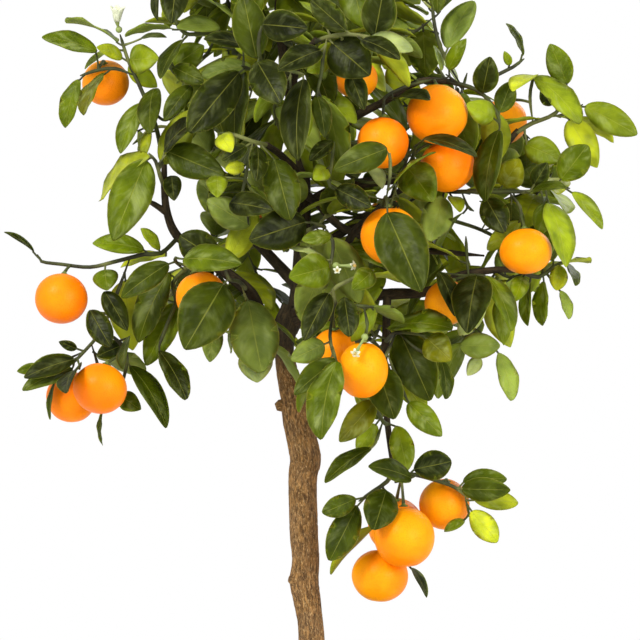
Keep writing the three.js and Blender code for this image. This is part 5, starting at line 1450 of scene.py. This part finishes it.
# Oranges: round, a little flat, deep orange and glossy, with fine oil pores, a dimple at the
# stalk and a small scar at the other end. Each hangs from its stalk's calyx.
def orange_tree():
    """One fruit: a ball shaped by its height, its dimple and slow lumps, turned to its axis."""
    given = new_tree(
        "ripe_orange", Float=["Radius", "Height", "Dimple", "Lumps", "Seed"], Rotation=["Turn"],
        Vector=["Middle"], Material=["Peel"],
    )
    ball = given.add("GeometryNodeMeshUVSphere", {"Segments": 40, "Rings": 24, "Radius": 1.0})
    spot = given.add("GeometryNodeInputPosition")
    x, y, z = spot.parts()
    at_top = z.between(-0.1, 0.1)
    near_axis = 1 - ((x * x + y * y) ** 0.5).between(0.0, 0.42)
    pit = near_axis * given["Dimple"] * (at_top - (1 - at_top) * 0.35)
    rough = given.add("ShaderNodeTexNoise", {
        "Vector": spot, "W": given["Seed"], "Scale": 1.3, "Detail": 1.0,
    }, noise_dimensions="4D")
    reach = given["Radius"] * (1 + (rough - 0.5) * given["Lumps"])
    moved = spot.add("ShaderNodeCombineXYZ", {
        "X": x * reach, "Y": y * reach, "Z": z * reach * given["Height"] - pit,
    })
    shaped = ball.add("GeometryNodeSetPosition", {"Geometry": ball, "Position": moved})
    hung = shaped.add("GeometryNodeTransform", {
        "Geometry": shaped, "Rotation": given["Turn"], "Translation": given["Middle"],
    })
    return close_tree([painted(hung, given["Peel"])])


def peel_paint(deep, bright):
    """Peel between two oranges, with a redder blush and the small pits of its oil glands."""
    def build(place):
        pores = place.add("ShaderNodeTexVoronoi", {"Vector": place, "Scale": 1100.0}, feature="F1")
        pit, slow = 1 - pores.between(0.12, 0.4), place.grain(28, 3)
        peel = slow.between(0.35, 0.68).mix(deep, bright)
        peel = (place.grain(90, 4).between(0.55, 0.8) * 0.35).mix(peel, (243, 118, 4))
        peel = (pit * 0.3).mix(peel, (224, 102, 6))
        return peel, pit * 0.15 + 0.34 + slow * 0.08, (1 - pit).bump(0.00035, 0.5)

    return build


# The deeper, redder peel goes on the listed oranges: partly riper fruit, partly painted shade on
# fruit deep in the crown.
TOP_DIMPLE, ORANGE_LUMPS, DEEPER_AND_SHADED_ORANGES = 0.0011, 0.05, (4, 7, 16, 17, 18, 20, 22)
ripe_orange = orange_tree()
peel_finish, deep_and_shaded_peel = (
    finish_paint(name, peel_paint(deep, bright), specular_ior_level=0.11)
    for name, deep, bright in (
        ("orange_peel", (251, 138, 5), (254, 162, 8)),
        ("deep_orange_peel", (250, 122, 4), (253, 145, 6)),
    )
)
for i, fruit in enumerate(fruits):
    name = "orange_%02d" % (i + 1)
    piece = mesh_object("ripe_" + name, [(0, 0, 0)], [])
    grow(piece, ripe_orange, {
        "Radius": fruit.radius * MM, "Height": fruit.tall, "Dimple": TOP_DIMPLE,
        "Lumps": ORANGE_LUMPS, "Seed": float(i), "Middle": list(fruit.middle * MM),
        "Turn": Vector(fruit.axis).to_track_quat("Z", "Y").to_euler(),
        "Peel": deep_and_shaded_peel if i + 1 in DEEPER_AND_SHADED_ORANGES else peel_finish,
    })
    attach(piece, "root")
    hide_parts(name)


# Blossoms: five thick white petals, bent back, round a ring of pale stamens with yellow tips,
# on short green-white stalks that meet in a bud.
PETAL_ROWS, PETAL_COLUMNS, PETAL_FOOT, PETAL_CUP, PETAL_THICKNESS = 7, 5, 0.12, 0.16, 0.07
PETAL_NARROW, PETAL_SWELL, PETAL_BEND = 0.06, 0.27, 2.4


def petal_object(name, spread, rise, bend):
    """One petal, a unit long: how far it spreads and rises, and how far its tip bends back."""
    slope, columns, under = math.hypot(spread, rise), PETAL_COLUMNS, PETAL_ROWS * PETAL_COLUMNS
    points, faces = [], []
    for upper, r in product((1, 0), range(PETAL_ROWS)):
        part = r / (PETAL_ROWS - 1)
        swell = math.sin(math.pi * min(0.97, 0.08 + 0.9 * part)) ** 0.7
        rim = PETAL_NARROW + PETAL_SWELL * swell
        for c in range(columns):
            across = -1 + 2 * c / (columns - 1)
            cup = PETAL_CUP * across * across * math.sin(math.pi * part)
            cup += (upper - 0.5) * PETAL_THICKNESS
            out = PETAL_FOOT + spread * part - cup * rise / slope
            height = rise * part - bend * part ** PETAL_BEND + cup * spread / slope
            points.append((across * rim, out, height))
    for low in range(0, under - columns, columns):
        high, end = low + columns, columns - 1
        for a in range(low, low + end):
            b = a + 1
            faces.append((a, b, b + columns, a + columns))
            faces.append((under + a, under + a + columns, under + b + columns, under + b))
        faces.append((low, high, under + high, under + low))
        faces.append((low + end, under + low + end, under + high + end, high + end))
    for c in range(columns - 1):
        top = under - columns + c
        faces.append((c, under + c, under + c + 1, c + 1))
        faces.append((top, top + 1, under + top + 1, under + top))
    return mesh_object(name, points, faces)


def blossom_tree():
    """Petals and stamens round each point of a mesh, with the stalk from its edges."""
    seed = new_tree("open_blossom", Int=["Petals", "Stamens", "Stalk Sides"],
                    Object=["Petal Shape"], Material=["Petal", "Stamen", "Stalk"])
    filament = seed.add("GeometryNodeMeshCone", {
        "Vertices": 5, "Radius Top": 0.05, "Radius Bottom": 0.03, "Depth": 0.62,
    })
    stamen = filament.add("GeometryNodeTransform", {
        "Geometry": filament, "Translation": (0, 0.14, 0.05), "Rotation": (-0.2, 0, 0),
    })
    parts = [swept(seed, seed["Stalk Sides"], seed["Stalk"])]
    for name, shape in (("Petal", pattern(seed, "Petal Shape")), ("Stamen", stamen)):
        count, order = seed[name + "s"], seed.add("GeometryNodeInputIndex")
        turn = order.add("ShaderNodeCombineXYZ", {"Z": order / count * 2 * math.pi})
        ring = seed.add("GeometryNodeMeshLine", {"Count": count, "Offset": (0, 0, 0)})
        whorl = ring.add("GeometryNodeInstanceOnPoints", {
            "Points": ring, "Instance": shape,
            "Rotation": turn.add("FunctionNodeEulerToRotation", {"Euler": turn}),
        })
        parts.append(set_out(seed, whorl, 1, seed[name]))
    return close_tree(parts)


STALK_RADII, FLOWER_STEP, FLOWER_SAG = (0.9, 0.9, 1.7), 1.5, 0.6
BUD_SHARES, LEAST_BUD = (-1.0, -0.85, -0.5, 0.0, 0.5, 0.85, 1.0), 0.15
HALF_OPEN, HALF_OPEN_LEAN, WIDE_LEAN = "blossom_top_left", (0.25, 0.1, 0.6), (0, -0.6, 0)
open_blossom = blossom_tree()
wide_petal = petal_object("wide_petal", spread=0.88, rise=0.34, bend=0.3)
half_petal = petal_object("half_petal", spread=0.44, rise=1.25, bend=0.1)
petal_paint = plain_paint(500, 3, (222, 224, 200), (196, 204, 166), 0.5, (0.3, 0.8), 0.15)
blossom_values = {
    "Petals": 5, "Stamens": 14, "Stalk Sides": 10,
    "Petal": finish_paint("waxy_petal", petal_paint),
    "Stamen": finish_paint("stamen", plain_paint(700, 2, (238, 220, 140), (226, 180, 60), 0.6)),
    "Stalk": finish_paint("pale_stalk", plain_paint(400, 2, (112, 132, 62), (158, 170, 100), 0.5)),
}
for name, (bud, middles, radii) in blooms.items():
    rows, edges, is_half_open = [], [], name == HALF_OPEN
    for middle, radius in zip(middles, radii):
        axis = unit(unit(middle - bud) + (HALF_OPEN_LEAN if is_half_open else WIDE_LEAN))
        places = (bud, 0.5 * (bud + middle) - axis * FLOWER_SAG, middle)
        add_line(rows, edges, smoothed(list(zip(places, STALK_RADII)), FLOWER_STEP))
        turn = Vector(axis).to_track_quat("Z", "Y")
        rows.append((middle, 0.0, 1, tuple(turn), (radius * MM,) * 3))
    heading = unit(middles[0] - bud)
    add_line(rows, edges, [
        (bud + heading * BUD_RADIUS * share, BUD_RADIUS * max(LEAST_BUD, math.sqrt(1 - share ** 2)))
        for share in BUD_SHARES
    ])
    piece = seed_object("white_" + name, rows, edges)
    shape = half_petal if is_half_open else wide_petal
    grow(piece, open_blossom, {"Petal Shape": shape, **blossom_values})
    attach(piece, "root")
    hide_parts(name)
for shape in (wide_petal, half_petal):
    bpy.data.objects.remove(shape)
